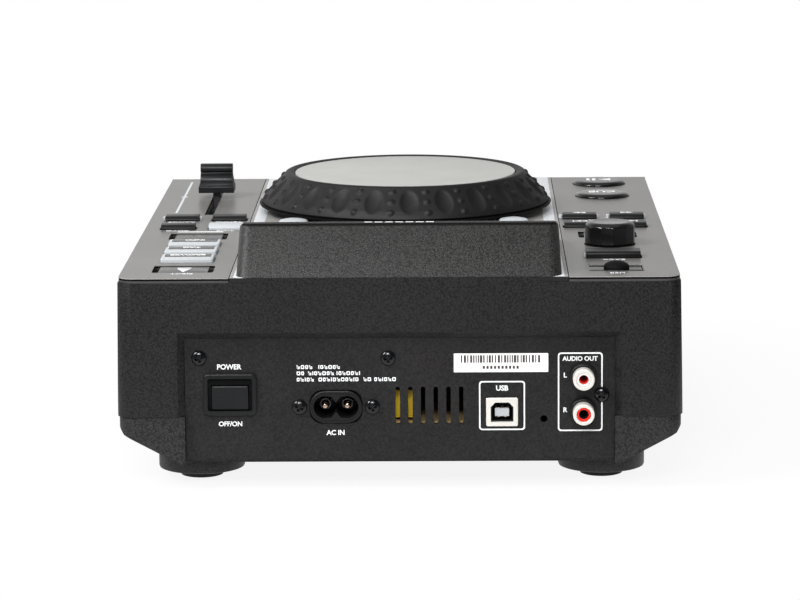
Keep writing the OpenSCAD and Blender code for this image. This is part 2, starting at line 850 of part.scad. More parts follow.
// ---- electronics ---------------------------------------------------------------------------

module main_board() {
    chip_y = (main_board_y[0] + main_board_y[1]) / 2;
    cap = [8, 11];
    color("#1f5a35") span(main_board_x, main_board_y, [main_board_z - board_t, main_board_z]);
    color("#202022") translate([(main_board_x[0] + main_board_x[1]) / 2, chip_y, main_board_z]) {
        translate([-3, -14, 0]) block(20, 20, 1.6);
        translate([20, -10, 0]) block(12, 16, 1.4);
        translate([-18, 18, 0]) block(8, 12, 2);
    }
    color("#26323f") for (y = [12, 26])
        translate([main_board_x[1] - 30, chip_y + y, main_board_z]) cylinder(d = cap[0], h = cap[1]);
}

module power_board() {
    big_cap = [18, 26];
    small_cap = [10, 16];
    cooler = [20, 4, 24];
    color("#b98d4e") span(power_board_x, power_board_y, [power_board_z - board_t, power_board_z]);
    color("#1c2b4a") {
        translate([power_board_x[1] - 16, power_board_y[1] - 40, power_board_z])
            cylinder(d = big_cap[0], h = big_cap[1]);
        for (y = [19, 35])
            translate([power_board_x[0] + 12, power_board_y[0] + y, power_board_z])
                cylinder(d = small_cap[0], h = small_cap[1]);
    }
    color("#8f9296") translate([vent_x + 33, power_board_y[0] + 11, power_board_z])
        block(cooler[0], cooler[1], cooler[2]);
}

module transformer() {
    tape = [power_core_w + 6, power_core_d + 6];
    color("#d8b23a") translate([core_x, core_y, power_board_z + 1.2]) block(tape[0], tape[1], 10.8);
    color("#2c2c2e") for (z = [[0, 1.2], [12, 15.5]])
        translate([core_x, core_y, power_board_z + z[0]]) block(power_core_w, power_core_d, z[1] - z[0]);
}

module tact(x, y, travel = key_travel) {
    depth = stem_tip + travel + 0.5;
    translate([x, y, control_z]) difference() {
        block(tact_w, tact_w, tact_h);
        translate([0, 0, tact_h - depth]) cylinder(r = tact_bore_r, h = depth + cut);
    }
}

module control_boards() {
    left_x = [-(top_half_w - 5.5), -(insert_w / 2 + 1.4)];
    right_x = [insert_w / 2 + 1.4, top_half_w - 5.5];
    low = control_z - board_t;
    color("#1f5a35") {
        span(left_x, [play_y - 14, usb_platform_y - 3], [low, control_z]);
        span(right_x, [rear_y - 158, rear_y - 10], [low, control_z]);
        span([-(loop_x + 8), loop_x + 8], [loop_y - 9, loop_y + 9], [low, control_z]);
    }
    color("#2a2a2c") {
        for (s = [-1, 1]) {
            for (x = [-1, 1], y = [row_a_y, row_b_y]) tact(s * block_x + x * key_pitch / 2, y);
            tact(s * block_x, menu_y);
            tact(s * loop_x, loop_y);
        }
        tact(-block_x, back_y);
        tact(block_x, eject_y);
        for (i = [0:2]) tact(block_x, list_y + i * list_pitch);
        tact(play_x, play_y, play_travel);
        tact(play_x, cue_y, play_travel);
    }
    // Sensor under the jog wheel, with the code disc running in its gap
    color("#2a2a2c") translate([0, jog_y + code_r + 1, axle_flange_z + 2.5]) difference() {
        block(8, 8, 9.5);
        translate([0, -2.5, 3.5]) block(10, 6, 2.6);
    }
}

module top_usb_port() {
    y = cover_axis_y + cover_d / 2;
    color("#b9bcc0") translate([usb_top_x, y, shell_top - wall]) {
        difference() {
            union() {
                translate([0, 0, -13]) block(13.2, 5.8, 13 + wall);
                translate([0, 0, -1.2]) block(19, 10, 1.2);
            }
            translate([0, 0, -11.5]) block(12.4, 5, 20);
        }
    }
    color("#17171a") translate([usb_top_x, y - 1.1, shell_top - wall - 11.5]) block(11.6, 1.9, 10 + wall);
}

module usb_cover() {
    y0 = cover_axis_y;
    low = shell_top + 0.15;
    grip_top = deck_h + cover_grip_h;
    dome_r = 6.2;
    color("#1c1c1e") {
        span([usb_top_x - cover_w / 2, usb_top_x + cover_w / 2], [y0, y0 + cover_d], [low, low + cover_t]);
        translate([usb_top_x, y0, cover_axis_z]) rotate([0, 90, 0]) {
            cylinder(r = 0.75, h = cover_w - 0.4, center = true);
            // Hinge pins that turn in the deck plate
            cylinder(r = cover_pin_r, h = usb_well_w + 2 * cover_pin_len, center = true);
        }
        translate([usb_top_x, cover_grip_y, 0]) intersection() {
            translate([0, 0, low]) cylinder(d = cover_grip_d, h = grip_top - low);
            translate([0, 0, grip_top - dome_r]) sphere(dome_r);
        }
    }
}

// ---- disc drive ----------------------------------------------------------------------------

module drive_chassis() {
    color("#9b9ea2") difference() {
        union() {
            span([-drive_w / 2, drive_w / 2], [drive_front, drive_rear], [drive_z, drive_z + sheet]);
            for (s = [-1, 1])
                translate([s > 0 ? drive_w / 2 - sheet : -drive_w / 2, drive_front, drive_z])
                    cube([sheet, drive_rear - drive_front, 28]);
            span([-drive_w / 2, drive_w / 2], [drive_rear - sheet, drive_rear], [drive_z, drive_z + 28]);
            // Brackets at both ends of the guide rods
            for (y = [rod_front - rod_bracket, rod_rear],
                 x = [[-rod_x - 4, -rod_x + 4], [rod_x - 4, screw_x + 4]])
                span(x, [y, y + rod_bracket], [drive_z, rod_z + 3.5]);
        }
        for (x = [-rod_x, rod_x, screw_x])
            translate([x, rod_front - rod_bracket - cut, rod_z]) rotate([-90, 0, 0])
                cylinder(r = rod_r + running, h = rod_rear - rod_front + 2 * rod_bracket + 2 * cut);
        translate([-drive_w / 2 - cut, roller_y, roller_z]) rotate([0, 90, 0])
            cylinder(r = 1.5 + running, h = drive_w + 2 * cut);
    }
    color("#d4d6d8") for (s = [-1, 1])
        translate([s * rod_x, rod_front - rod_bracket, rod_z]) rotate([-90, 0, 0])
            cylinder(r = rod_r, h = rod_rear - rod_front + 2 * rod_bracket);
}

module turntable() {
    low = drive_z + sheet + spindle_motor_h + 1.7;
    color("#3a3a3d") translate([0, disc_y, 0]) {
        translate([0, 0, low - 6]) cylinder(r = spindle_r, h = 6 + eps);
        translate([0, 0, low]) cylinder(r = 14, h = 2);
        translate([0, 0, low + 2 - eps]) cylinder(r1 = 7.4, r2 = 6.4, h = 2, $fn = 64);
    }
}

module pickup_sled() {
    color("#4a4c50") {
        difference() {
            union() {
                span([-rod_x - 4, rod_x + 3.2], [sled_y, sled_y + sled_d], [rod_z - 3, rod_z + 4]);
                span([rod_x, screw_x + 3.6], [sled_y + 8, sled_y + 14], [rod_z - 3, rod_z + 3]);
            }
            for (s = [-1, 1])
                translate([s * rod_x, sled_y - cut, rod_z]) rotate([-90, 0, 0])
                    cylinder(r = rod_r + running, h = sled_d + 2 * cut);
            translate([screw_x, sled_y, rod_z]) rotate([-90, 0, 0]) cylinder(r = lead_r + 0.35, h = sled_d);
        }
        translate([0, sled_y + 8, rod_z + 4]) cylinder(r = 2.2, h = 1.4);
    }
}

module lead_screw() {
    color("#c9cbce") translate([screw_x, rod_front - rod_bracket + 0.5, rod_z]) rotate([-90, 0, 0])
        cylinder(r = lead_r, h = rod_rear - rod_front + 2 * rod_bracket + 6);
}

// Motors of the turntable, the sled and the loading roller
module drive_motors() {
    roller_motor = [7, 11];
    color("#a9acb0") {
        translate([0, disc_y, drive_z + sheet]) difference() {
            cylinder(r = spindle_motor_r, h = spindle_motor_h);
            translate([0, 0, 2]) cylinder(r = spindle_r + running, h = spindle_motor_h);
        }
        translate([screw_x, motor_y, rod_z]) rotate([-90, 0, 0]) difference() {
            cylinder(r = motor_r, h = motor_len);
            translate([0, 0, -cut]) cylinder(r = lead_r + running, h = 8);
        }
        translate([drive_w / 2 - 18, roller_y + 16, drive_z + sheet])
            cylinder(r = roller_motor[0], h = roller_motor[1]);
    }
}

module loading_roller() {
    color("#2a2a2c") translate([0, roller_y, roller_z]) rotate([0, 90, 0]) {
        translate([0, 0, -(drive_w / 2 - 12)]) cylinder(d = roller_d, h = drive_w - 24);
        translate([0, 0, -(drive_w / 2 - 0.2)]) cylinder(r = 1.5, h = drive_w - 0.4);
    }
}

// ---- jog wheel -----------------------------------------------------------------------------

module jog_base() {
    r = jog_d / 2;
    color("#1d1d20") translate([0, jog_y, 0]) rotate_extrude($fn = 128) difference() {
        union() {
            translate([0, rim_z]) square([r - 0.6, rim_t]);
            translate([0, rim_z + 0.5]) square([r, rim_t - 1]);
            translate([0, hub_low]) square([hub_r, hub_top - hub_low]);
            translate([jog_plate_d / 2 - 9, rim_z]) square([3, plate_z - 2 - rim_z]);
            translate([0, hub_low]) square([code_r, 1]);
        }
        translate([-cut, hub_low - cut]) square([axle_r + running + cut, hub_top - hub_low - 1]);
    }
}

module jog_ring() {
    low = rim_z + rim_t;
    top = plate_z - 0.4;
    r0 = jog_d / 2 - 1;
    r1 = jog_plate_d / 2 + 0.3;
    color("#3b3b3f") translate([0, jog_y, 0]) rotate_extrude($fn = 128)
        polygon([[r0, low], [r0, low + 1], [r1 + 0.9, top], [r1, top], [r1, top - 1.6],
                 [r1 - 2.5, top - 1.6], [r1 - 2.5, top - 3], [r0 - 4, low]]);
}

module jog_plate() {
    r = jog_plate_d / 2;
    color("#b9b9b7") translate([0, jog_y, plate_z - 2]) cylinder(r = r, h = 2, $fn = 128);
}

module jog_axle() {
    color("#8d9094") translate([0, jog_y, axle_flange_z]) {
        cylinder(r = flange_r, h = 2.5);
        cylinder(r = axle_r, h = hub_top - 2.5 - axle_flange_z);
        cylinder(r = axle_r + 2, h = hub_low - 0.3 - axle_flange_z);
        for (a = [30, 150, 270])
            rotate(a) translate([flange_r - 3.5, 0, 0]) cylinder(r = 3, h = shell_top - axle_flange_z);
    }
}

// ---- pitch fader ---------------------------------------------------------------------------

module fader_body() {
    low = shell_top - fader_box_h;
    color("#8f9296") translate([fader_x, fader_y, low]) difference() {
        block(fader_box_w, fader_box_d, fader_box_h);
        translate([0, 0, 2]) block(carriage_w + 0.6, fader_room_d, fader_box_h - 4);
        translate([0, 0, 5]) block(fader_slot_w, fader_slot_d, fader_box_h);
    }
}

module fader_lever() {
    low = shell_top - fader_box_h + 2.6;
    color("#111113") translate([fader_x, fader_y, low]) {
        block(carriage_w, carriage_d, carriage_h);
        block(lever_w, lever_d, deck_h + knob_float + 5 - low);
    }
}

module fader_knob() {
    low = deck_h + knob_float;
    color("#2e2e32") translate([fader_x, fader_y, low]) difference() {
        union() {
            block(fader_w, fader_knob_d, 2.7);
            block(fader_w - 1, fader_knob_d, fader_h - knob_float);
        }
        // Hollow of the grip and seat of the lever
        translate([0, 0, fader_h - knob_float + 5.4]) rotate([0, 90, 0])
            cylinder(r = 7, h = fader_w + 2, center = true);
        translate([0, 0, -cut]) block(lever_w + 0.1, lever_d + 0.1, 5 + cut + 0.1);
    }
}

// ---- select knob ---------------------------------------------------------------------------

module select_encoder() {
    color("#8f9296") translate([-block_x, select_y, control_z]) difference() {
        union() {
            block(12, 12, 5);
            cylinder(r = 3.5, h = board_drop + plate_t - 0.4);
        }
        translate([0, 0, 1.5]) cylinder(r = 2.5 + running, h = 20);
    }
}

module select_shaft() {
    color("#b4b7ba") translate([-block_x, select_y, control_z + 2.6])
        cylinder(r = 2.5, h = deck_h + select_h - 3 - control_z - 2.6);
}

module select_knob() {
    low = deck_h + 0.9;
    r = select_d / 2;
    color("#161618") translate([-block_x, select_y, low]) rotate_extrude($fn = 96) difference() {
        polygon([[0, 0], [r, 0], [r, 0.8], [r - 0.7, 1], [r - 0.9, select_h - 4.2],
                 [r - 1.9, select_h - 1.5], [r - 3.4, select_h - 0.9], [0, select_h - 0.9]]);
        translate([-cut, -cut]) square([2.5 + running + cut, select_h - 3.8 + cut]);
    }
}

// ---- keys and buttons ----------------------------------------------------------------------

// A key with its cap in the deck, its retaining flange below and its stem down to the switch
module key(x, y, w, d, h, r) {
    translate([x, y, 0]) {
        translate([0, 0, flange_top - eps])
            linear_extrude(deck_h + h - flange_top + eps) rounded(w, d, r);
        translate([0, 0, flange_top - flange_t])
            linear_extrude(flange_t) rounded(w, d + 2 * (flange_lip + key_gap), r);
        stem();
    }
}

module stem() {
    translate([0, 0, control_z + tact_h - stem_tip])
        cylinder(r = stem_r, h = flange_top - flange_t - control_z - tact_h + stem_tip + eps);
}

module small_key(s, column, y) {
    color("#1a1a1c") key(s * (block_x + column * key_pitch / 2), y, key_w, key_d, key_h, 1.2);
}

module recessed_key(x, y) {
    lip = (well_w - recess_key_w) / 2 + 0.8;
    color("#2b2c2f") key(x, y, recess_key_w, recess_key_d, -recess_sink, 1);
    color("#1a1a1c") translate([x, y, flange_top - flange_t])
        linear_extrude(flange_t) rounded(recess_key_w + 2 * lip, recess_key_d + 3.4, 1);
}

module list_key(i) {
    color("#f2f2ee") key(block_x, list_y + i * list_pitch, list_w, list_d, list_h, 1);
}

module round_button(x, y, d, h) {
    translate([x, y, 0]) {
        translate([0, 0, flange_top - eps]) cylinder(d = d, h = deck_h + h - 0.8 - flange_top + eps);
        translate([0, 0, deck_h + h - 0.8]) cylinder(d1 = d, d2 = d - 1.6, h = 0.8, $fn = 64);
        translate([0, 0, flange_top - flange_t])
            cylinder(d = d + 2 * (key_gap + flange_lip), h = flange_t);
        stem();
    }
}

module search_back_key() { small_key(-1, 1, row_a_y); }
module search_forward_key() { small_key(-1, -1, row_a_y); }
module track_back_key() { small_key(-1, 1, row_b_y); }
module track_forward_key() { small_key(-1, -1, row_b_y); }
module tempo_range_key() { small_key(1, -1, row_a_y); }
module master_tempo_key() { small_key(1, 1, row_a_y); }
module time_mode_key() { small_key(1, -1, row_b_y); }
module auto_cue_key() { small_key(1, 1, row_b_y); }
module back_key() { color("#1a1a1c") key(-block_x, back_y, back_w, back_d, back_h, 1.5); }
module memory_key() { recessed_key(-block_x, menu_y); }
module menu_key() { recessed_key(block_x, menu_y); }
module eject_key() { recessed_key(block_x, eject_y); }
module browse_key() { list_key(2); }
module tag_list_key() { list_key(1); }
module info_key() { list_key(0); }
module play_button() { color("#141416") round_button(play_x, play_y, play_d, play_h); }
module cue_button() { color("#141416") round_button(play_x, cue_y, play_d, play_h); }
module loop_in_button() { color("#f4f4f2") round_button(-loop_x, loop_y, loop_d, loop_h); }
module loop_out_button() { color("#f4f4f2") round_button(loop_x, loop_y, loop_d, loop_h); }

lower_shell();
upper_shell();
left_deck_plate();
right_deck_plate();
center_insert();
display_hood();
display_lens();
lcd_panel();
rear_panel();
panel_screws();
bottom_screws();
feet();
rubber_pads();
ac_inlet();
switch_housing();
power_button();
usb_b_socket();
rca_block();
rca_sleeves();
main_board();
power_board();
transformer();
control_boards();
top_usb_port();
usb_cover();
drive_chassis();
turntable();
pickup_sled();
lead_screw();
drive_motors();
loading_roller();
jog_plate();
jog_ring();
jog_base();
jog_axle();
fader_body();
fader_lever();
fader_knob();
select_encoder();
select_shaft();
select_knob();
play_button();
cue_button();
search_back_key();
search_forward_key();
track_back_key();
track_forward_key();
tempo_range_key();
master_tempo_key();
time_mode_key();
auto_cue_key();
back_key();
memory_key();
menu_key();
eject_key();
browse_key();
tag_list_key();
info_key();
loop_in_button();
loop_out_button();
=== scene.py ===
"""Looks of the tabletop DJ disc player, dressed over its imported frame.

Pieces are shaped in millimetres, in the frame of the player: X to the user's
right, Y towards the sockets, Z up. The last step of each one turns it into metres.
"""

import math

import bmesh
import bpy
from mathutils import Matrix, Vector


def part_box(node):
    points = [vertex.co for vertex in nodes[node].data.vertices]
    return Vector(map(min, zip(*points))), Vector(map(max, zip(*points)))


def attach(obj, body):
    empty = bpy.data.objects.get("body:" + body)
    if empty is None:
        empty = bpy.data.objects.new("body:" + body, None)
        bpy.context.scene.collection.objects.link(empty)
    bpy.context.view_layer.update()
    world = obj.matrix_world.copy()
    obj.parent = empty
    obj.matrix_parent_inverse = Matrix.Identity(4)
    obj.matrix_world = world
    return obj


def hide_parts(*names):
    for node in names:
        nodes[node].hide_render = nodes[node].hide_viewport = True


MM = 0.001
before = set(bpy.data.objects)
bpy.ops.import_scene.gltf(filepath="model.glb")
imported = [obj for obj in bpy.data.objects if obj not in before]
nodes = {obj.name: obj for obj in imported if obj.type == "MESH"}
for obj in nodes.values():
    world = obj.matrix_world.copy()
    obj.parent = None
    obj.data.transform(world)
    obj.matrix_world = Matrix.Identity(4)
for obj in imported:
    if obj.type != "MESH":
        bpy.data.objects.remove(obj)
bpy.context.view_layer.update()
LOW = {name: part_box(name)[0] / MM for name in nodes}
HIGH = {name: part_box(name)[1] / MM for name in nodes}

# Levels and places that several pieces share, read off the frame
DECK = HIGH["left_deck_plate"].z
DECK_REAR = HIGH["center_insert"].y
DECK_FRONT = LOW["center_insert"].y
PANEL_FACE = HIGH["rear_panel"].y
INSERT_HALF = HIGH["center_insert"].x

# Sizes and levels that the keys share
KEY_LIP = 0.9
KEY_CROWN = 0.2
FLANGE_TOP = DECK - 2.2
FLANGE_THICK = 1.8
FLANGE_LOW = FLANGE_TOP - FLANGE_THICK
CAP_BASE = FLANGE_TOP - 0.1
STEM_R = 1.5
CAP_SHY = 0.8


def middle(node):
    return (LOW[node] + HIGH[node]) / 2


def span(node):
    return HIGH[node] - LOW[node]


def axis(node):
    """Place of a node's upright middle line, at height 0."""
    return (middle(node).x, middle(node).y, 0)


def limits(node):
    """Lowest corner, highest corner and middle of a CAD node."""
    return LOW[node], HIGH[node], middle(node)


# ---- effects that several finishes share ---------------------------------------------------


def noise(tree, place, scale, detail, **more):
    """A noise texture of that scale and detail, read at a place."""
    inputs = {"Vector": place, "Scale": scale, "Detail": detail}
    return add(tree, "TexNoise", {**inputs, **more})


def effect(name, inputs, outputs):
    """An empty shader group with its named sockets."""
    tree = bpy.data.node_groups.new(name, "ShaderNodeTree")
    for socket, (kind, value) in inputs.items():
        made = tree.interface.new_socket(socket, in_out="INPUT", socket_type=kind)
        if value is not None:
            made.default_value = value
    for socket in outputs:
        tree.interface.new_socket(socket, in_out="OUTPUT", socket_type="NodeSocketFloat")
    return tree, add(tree, "NodeGroupInput"), add(tree, "NodeGroupOutput")


def add(tree, kind, inputs=None, **settings):
    """A node with its settings, and its inputs set to values or fed by sockets."""
    node = tree.nodes.new("ShaderNode" + kind if not kind.startswith("NodeGroup") else kind)
    for name, value in settings.items():
        setattr(node, name, value)
    for name, value in (inputs or {}).items():
        if isinstance(value, bpy.types.NodeSocket):
            tree.links.new(value, node.inputs[name])
        else:
            node.inputs[name].default_value = value
    return node


def sums(tree, operation, *values):
    return add(tree, "Math", dict(enumerate(values)), operation=operation).outputs[0]


def ranged(tree, value, low, high, to_low, to_high):
    inputs = {"Value": value, "From Min": low, "From Max": high, "To Min": to_low, "To Max": to_high}
    return add(tree, "MapRange", inputs).outputs[0]


PLACE = {"Place": ("NodeSocketVector", None), "Scale": ("NodeSocketFloat", 900.0)}


def make_pebble_effect():
    """Leather-like moulding: low pebbles with creases between them."""
    tree, given, out = effect("pebble_grain", PLACE, ["Height"])
    scale = given.outputs["Scale"]
    place = given.outputs["Place"]
    drift = noise(tree, place, sums(tree, "MULTIPLY", scale, 0.7), 1.0)
    bent = add(tree, "VectorMath", {0: drift.outputs["Color"], 1: (0.0012,) * 3}, operation="MULTIPLY")
    drifted = add(tree, "VectorMath", {0: place, 1: bent.outputs[0]}, operation="ADD")
    inputs = {"Vector": drifted.outputs[0], "Scale": scale, "Smoothness": 0.4}
    cells = add(tree, "TexVoronoi", inputs, feature="SMOOTH_F1")
    rough = noise(tree, place, sums(tree, "MULTIPLY", scale, 2.5), 2.0)
    pebble = ranged(tree, cells.outputs["Distance"], 0.05, 0.75, 1.0, 0.0)
    mixed = sums(tree, "ADD", pebble, sums(tree, "MULTIPLY", rough.outputs[0], 0.5))
    tree.links.new(mixed, out.inputs["Height"])
    return tree


def make_fleck_effect():
    """Fine flecks of a satin paint or an eroded mould, with a broad slow drift under them."""
    tree, given, out = effect("paint_flecks", PLACE, ["Height", "Mask"])
    scale = given.outputs["Scale"]
    place = given.outputs["Place"]
    fine = noise(tree, place, scale, 3.0, Roughness=0.65)
    broad = noise(tree, place, sums(tree, "MULTIPLY", scale, 0.02), 2.0)
    sharp = ranged(tree, fine.outputs[0], 0.36, 0.64, 0.0, 1.0)
    drift = ranged(tree, broad.outputs[0], 0.3, 0.7, 0.0, 1.0)
    tree.links.new(sharp, out.inputs["Height"])
    mask = sums(tree, "ADD", sums(tree, "MULTIPLY", sharp, 0.7), sums(tree, "MULTIPLY", drift, 0.3))
    tree.links.new(mask, out.inputs["Mask"])
    return tree


def make_handling_effect():
    """Faint smears and dust that dull a smooth surface here and there."""
    tree, given, out = effect("handling_marks", PLACE, ["Mask"])
    place, scale = given.outputs["Place"], given.outputs["Scale"]
    smear = noise(tree, place, scale, 4.0, Distortion=0.6)
    dust = noise(tree, place, sums(tree, "MULTIPLY", scale, 60.0), 1.0)
    soft = ranged(tree, smear.outputs[0], 0.35, 0.7, 0.0, 1.0)
    specks = ranged(tree, dust.outputs[0], 0.66, 0.74, 0.0, 1.0)
    tree.links.new(sums(tree, "MAXIMUM", soft, specks), out.inputs["Mask"])
    return tree


def make_spun_effect():
    """Rings that a lathe leaves round the Z axis of the place given to it."""
    tree, given, out = effect("spun_rings", PLACE, ["Height"])
    flat = add(tree, "VectorMath", {0: given.outputs["Place"], 1: (1, 1, 0)}, operation="MULTIPLY")
    radius = add(tree, "VectorMath", {0: flat.outputs[0]}, operation="LENGTH").outputs["Value"]
    turns = add(tree, "CombineXYZ", {"X": radius})
    rings = noise(tree, turns.outputs[0], given.outputs["Scale"], 3.0)
    tree.links.new(ranged(tree, rings.outputs[0], 0.3, 0.7, 0.0, 1.0), out.inputs["Height"])
    return tree


def make_brushed_effect():
    """Short scratches along Y, as on rolled sheet or drawn rod."""
    tree, given, out = effect("drawn_lines", PLACE, ["Height"])
    stretched = add(tree, "VectorMath", {0: given.outputs["Place"], 1: (1, 0.04, 1)}, operation="MULTIPLY")
    lines = noise(tree, stretched.outputs[0], given.outputs["Scale"], 4.0)
    tree.links.new(ranged(tree, lines.outputs[0], 0.35, 0.65, 0.0, 1.0), out.inputs["Height"])
    return tree


EFFECTS = {
    "pebble": make_pebble_effect(),
    "flecks": make_fleck_effect(),
    "handling": make_handling_effect(),
    "spun": make_spun_effect(),
    "drawn": make_brushed_effect(),
}


# ---- finishes ------------------------------------------------------------------------------


class Finish:
    """A material on the player, built from the shared effects."""

    def __init__(self, name, roughness=0.5, metallic=0.0, specular=0.5, coat=0.0, centre=None):
        self.material = bpy.data.materials.new(name)
        self.material.use_nodes = True
        self.tree = self.material.node_tree
        self.shader = self.tree.nodes["Principled BSDF"]
        self.set(Metallic=metallic, Roughness=roughness)
        self.shader.inputs["Specular IOR Level"].default_value = specular
        self.shader.inputs["Coat Weight"].default_value = coat
        self.shader.inputs["Coat Roughness"].default_value = 0.06
        self.place = add(self.tree, "TexCoord").outputs["Object"]
        if centre is not None:
            shift = {"Vector": self.place, "Location": [-c * MM for c in centre]}
            self.place = add(self.tree, "Mapping", shift, vector_type="POINT").outputs[0]

    def feed(self, socket, source):
        self.tree.links.new(source, self.shader.inputs[socket])

    def set(self, **values):
        for socket, value in values.items():
            self.shader.inputs[socket.replace("_", " ")].default_value = value

    def effect(self, name, scale):
        group = self.tree.nodes.new("ShaderNodeGroup")
        group.node_tree = EFFECTS[name]
        group.inputs["Scale"].default_value = scale
        self.tree.links.new(self.place, group.inputs["Place"])
        return group.outputs

    def blend(self, mask, first, second):
        """One colour where the mask is 0 and the other where it is 1."""
        mix = add(self.tree, "Mix", {"Factor": mask}, data_type="RGBA")
        for socket, source in zip([i for i in mix.inputs if i.type == "RGBA"], (first, second)):
            if isinstance(source, bpy.types.NodeSocket):
                self.tree.links.new(source, socket)
            else:
                socket.default_value = (*source, 1)
        return [o for o in mix.outputs if o.type == "RGBA"][0]

    def colour(self, mask, first, second):
        self.feed("Base Color", self.blend(mask, first, second))

    def above(self, level, soft=0.05):
        """Mask that is 0 under a height in millimetres and 1 over it."""
        height = add(self.tree, "SeparateXYZ", {"Vector": self.place}).outputs["Z"]
        return ranged(self.tree, height, (level - soft) * MM, (level + soft) * MM, 0.0, 1.0)

    def step(self, mask, under, over):
        """One number, or output of a node, where the mask is 0 and the other where it is 1."""
        return ranged(self.tree, mask, 0, 1, under, over)

    def dull(self, mask, low, high):
        self.feed("Roughness", self.step(mask, low, high))

    def bump(self, height, strength, depth_mm):
        inputs = {"Height": height, "Strength": strength, "Distance": depth_mm * MM}
        self.feed("Normal", add(self.tree, "Bump", inputs).outputs[0])


def shade(colour, factor):
    return [min(1.0, c * factor) for c in colour]


def moulded(name, colour, roughness, cell_mm=1.1, depth=0.10, strength=0.6, slant=0.0, top=None, **kw):
    """Plastic from a pebbled mould, its pebbles drawn out at a slant, with painted shade in the creases and
    painted highlights on the pebbles, plain and darker over a height as a painted shade on the top rim.
    """
    made = Finish(name, roughness, **kw)
    if slant:
        turn = {"Vector": made.place, "Rotation": (0, math.radians(slant), 0), "Scale": (1, 1, 2)}
        made.place = add(made.tree, "Mapping", turn, vector_type="TEXTURE").outputs[0]
    grain = made.effect("pebble", 1 / (cell_mm * MM))["Height"]
    marks = made.effect("handling", 22)["Mask"]
    # Colour follows the pebbles' height: painted shade in the creases and painted highlights on the pebble
    # tops
    body = made.blend(made.step(grain, -0.1, 0.75), shade(colour, 0.1), shade(colour, 2.0))
    made.dull(marks, roughness - 0.03, roughness + 0.06)
    # Over the top height the colour is painted darker and the shine taken off: a painted shade on the top rim
    if top:
        made.place = add(made.tree, "TexCoord").outputs["Object"]
        rim = made.above(top, 0.3)
        body = made.blend(rim, body, shade(colour, 0.4))
        made.feed("Specular IOR Level", made.step(rim, kw.get("specular", 0.5), 0.05))
    made.feed("Base Color", body)
    made.bump(grain, strength, depth)
    return made.material


def satin(name, colour, roughness, fleck_mm=0.4, spread=0.3, depth=0.012, strength=0.5, **kw):
    """Smooth or finely eroded plastic and paint, flecked and lightly handled."""
    made = Finish(name, roughness, **kw)
    flecks = made.effect("flecks", 1 / (fleck_mm * MM))
    marks = made.effect("handling", 30)["Mask"]
    made.colour(flecks["Mask"], shade(colour, 1 - spread), shade(colour, 1 + spread))
    made.dull(marks, roughness, roughness + 0.1)
    made.bump(flecks["Height"], strength, depth)
    return made.material


def metal(name, colour, roughness, line_mm=0.15, lines="drawn", centre=None, strength=0.25):
    """Bare or plated metal with the lines of its making."""
    made = Finish(name, roughness, metallic=1.0, centre=centre)
    grain = made.effect(lines, 1 / (line_mm * MM))["Height"]
    marks = made.effect("handling", 60)["Mask"]
    made.colour(marks, colour, shade(colour, 0.82))
    made.dull(grain, roughness - 0.05, roughness + 0.1)
    made.bump(grain, strength, 0.004)
    return made.material


def make_jog_plate_paint():
    """Light grey paint over a spun plate."""
    made = Finish("jog_plate_paint", 0.42, centre=middle("jog_plate"))
    rings = made.effect("spun", 2600)["Height"]
    flecks = made.effect("flecks", 2600)["Mask"]
    made.colour(flecks, (0.34, 0.34, 0.324), (0.46, 0.46, 0.44))
    made.dull(rings, 0.38, 0.5)
    made.bump(rings, 0.18, 0.006)
    return made.material


def make_grip_rubber():
    """Dull rubber, painted deep black and without shine along its lowest millimetre: a painted shade at the
    foot of the grip.
    """
    made = Finish("jog_rubber", 0.55)
    flecks = made.effect("flecks", 2000)
    # Painted shade: under this height the rubber is painted near black and loses its shine
    body = made.above(LOW["jog_ring"].z - 0.8, 0.15)
    rubber = made.blend(flecks["Mask"], (0.004, 0.0038, 0.0038), (0.0085, 0.008, 0.008))
    made.colour(body, (0.001, 0.001, 0.001), rubber)
    made.dull(flecks["Mask"], 0.5, 0.62)
    made.feed("Specular IOR Level", made.step(body, 0.04, 0.4))
    made.bump(flecks["Height"], 0.5, 0.03)
    return made.material


def make_deck_paint(name, colour, roughness, painted_edge_light):
    """Flecked satin face over dark sides; when asked, the cut edge gets a painted highlight as a light rim, a
    painted shadow as a black band under it, and a dark foot that is a painted highlight of the shell's rim.
    """
    made = Finish(name, roughness)
    flecks = made.effect("flecks", 1100)
    paint = made.blend(flecks["Mask"], shade(colour, 0.6), shade(colour, 1.4))
    face_rough = made.step(flecks["Mask"], roughness - 0.02, roughness + 0.06)
    face = made.above(DECK - 0.06, 0.03)
    side, side_rough, side_shine = (0.012, 0.012, 0.0125), 0.5, 0.3
    if painted_edge_light:
        # Painted light on the cut edge: the rim mask marks a painted highlight along the top, the band mask a
        # painted shadow line under it, and below the band is a painted highlight of the shell's rim
        rim, band = made.above(DECK - 0.35), made.above(DECK - 1.1)
        painted_shadow_and_highlight = made.blend(band, (0.05, 0.05, 0.052), (0.003, 0.003, 0.003))
        side = made.blend(rim, painted_shadow_and_highlight, (0.3, 0.29, 0.28))
        side_rough = made.step(rim, made.step(band, 0.35, 0.6), 0.35)
        side_shine = made.step(rim, made.step(band, 0.5, 0.05), 0.5)
    made.colour(face, side, paint)
    made.dull(face, side_rough, face_rough)
    made.feed("Specular IOR Level", made.step(face, side_shine, 0.5))
    made.bump(flecks["Height"], 0.5, 0.02)
    return made.material


def make_window():
    """Smoked window over the display."""
    made = Finish("display_window", 0.05)
    made.set(Base_Color=(0.30, 0.31, 0.33, 1), Transmission_Weight=0.9, IOR=1.49)
    made.dull(made.effect("handling", 40)["Mask"], 0.03, 0.09)
    return made.material


def make_display_glass():
    """Unlit liquid crystal cell: dark grey green, finely flecked."""
    made = Finish("display_cell", 0.25)
    flecks = made.effect("flecks", 3000)["Mask"]
    made.colour(flecks, (0.030, 0.036, 0.036), (0.045, 0.054, 0.053))
    made.dull(flecks, 0.2, 0.3)
    return made.material


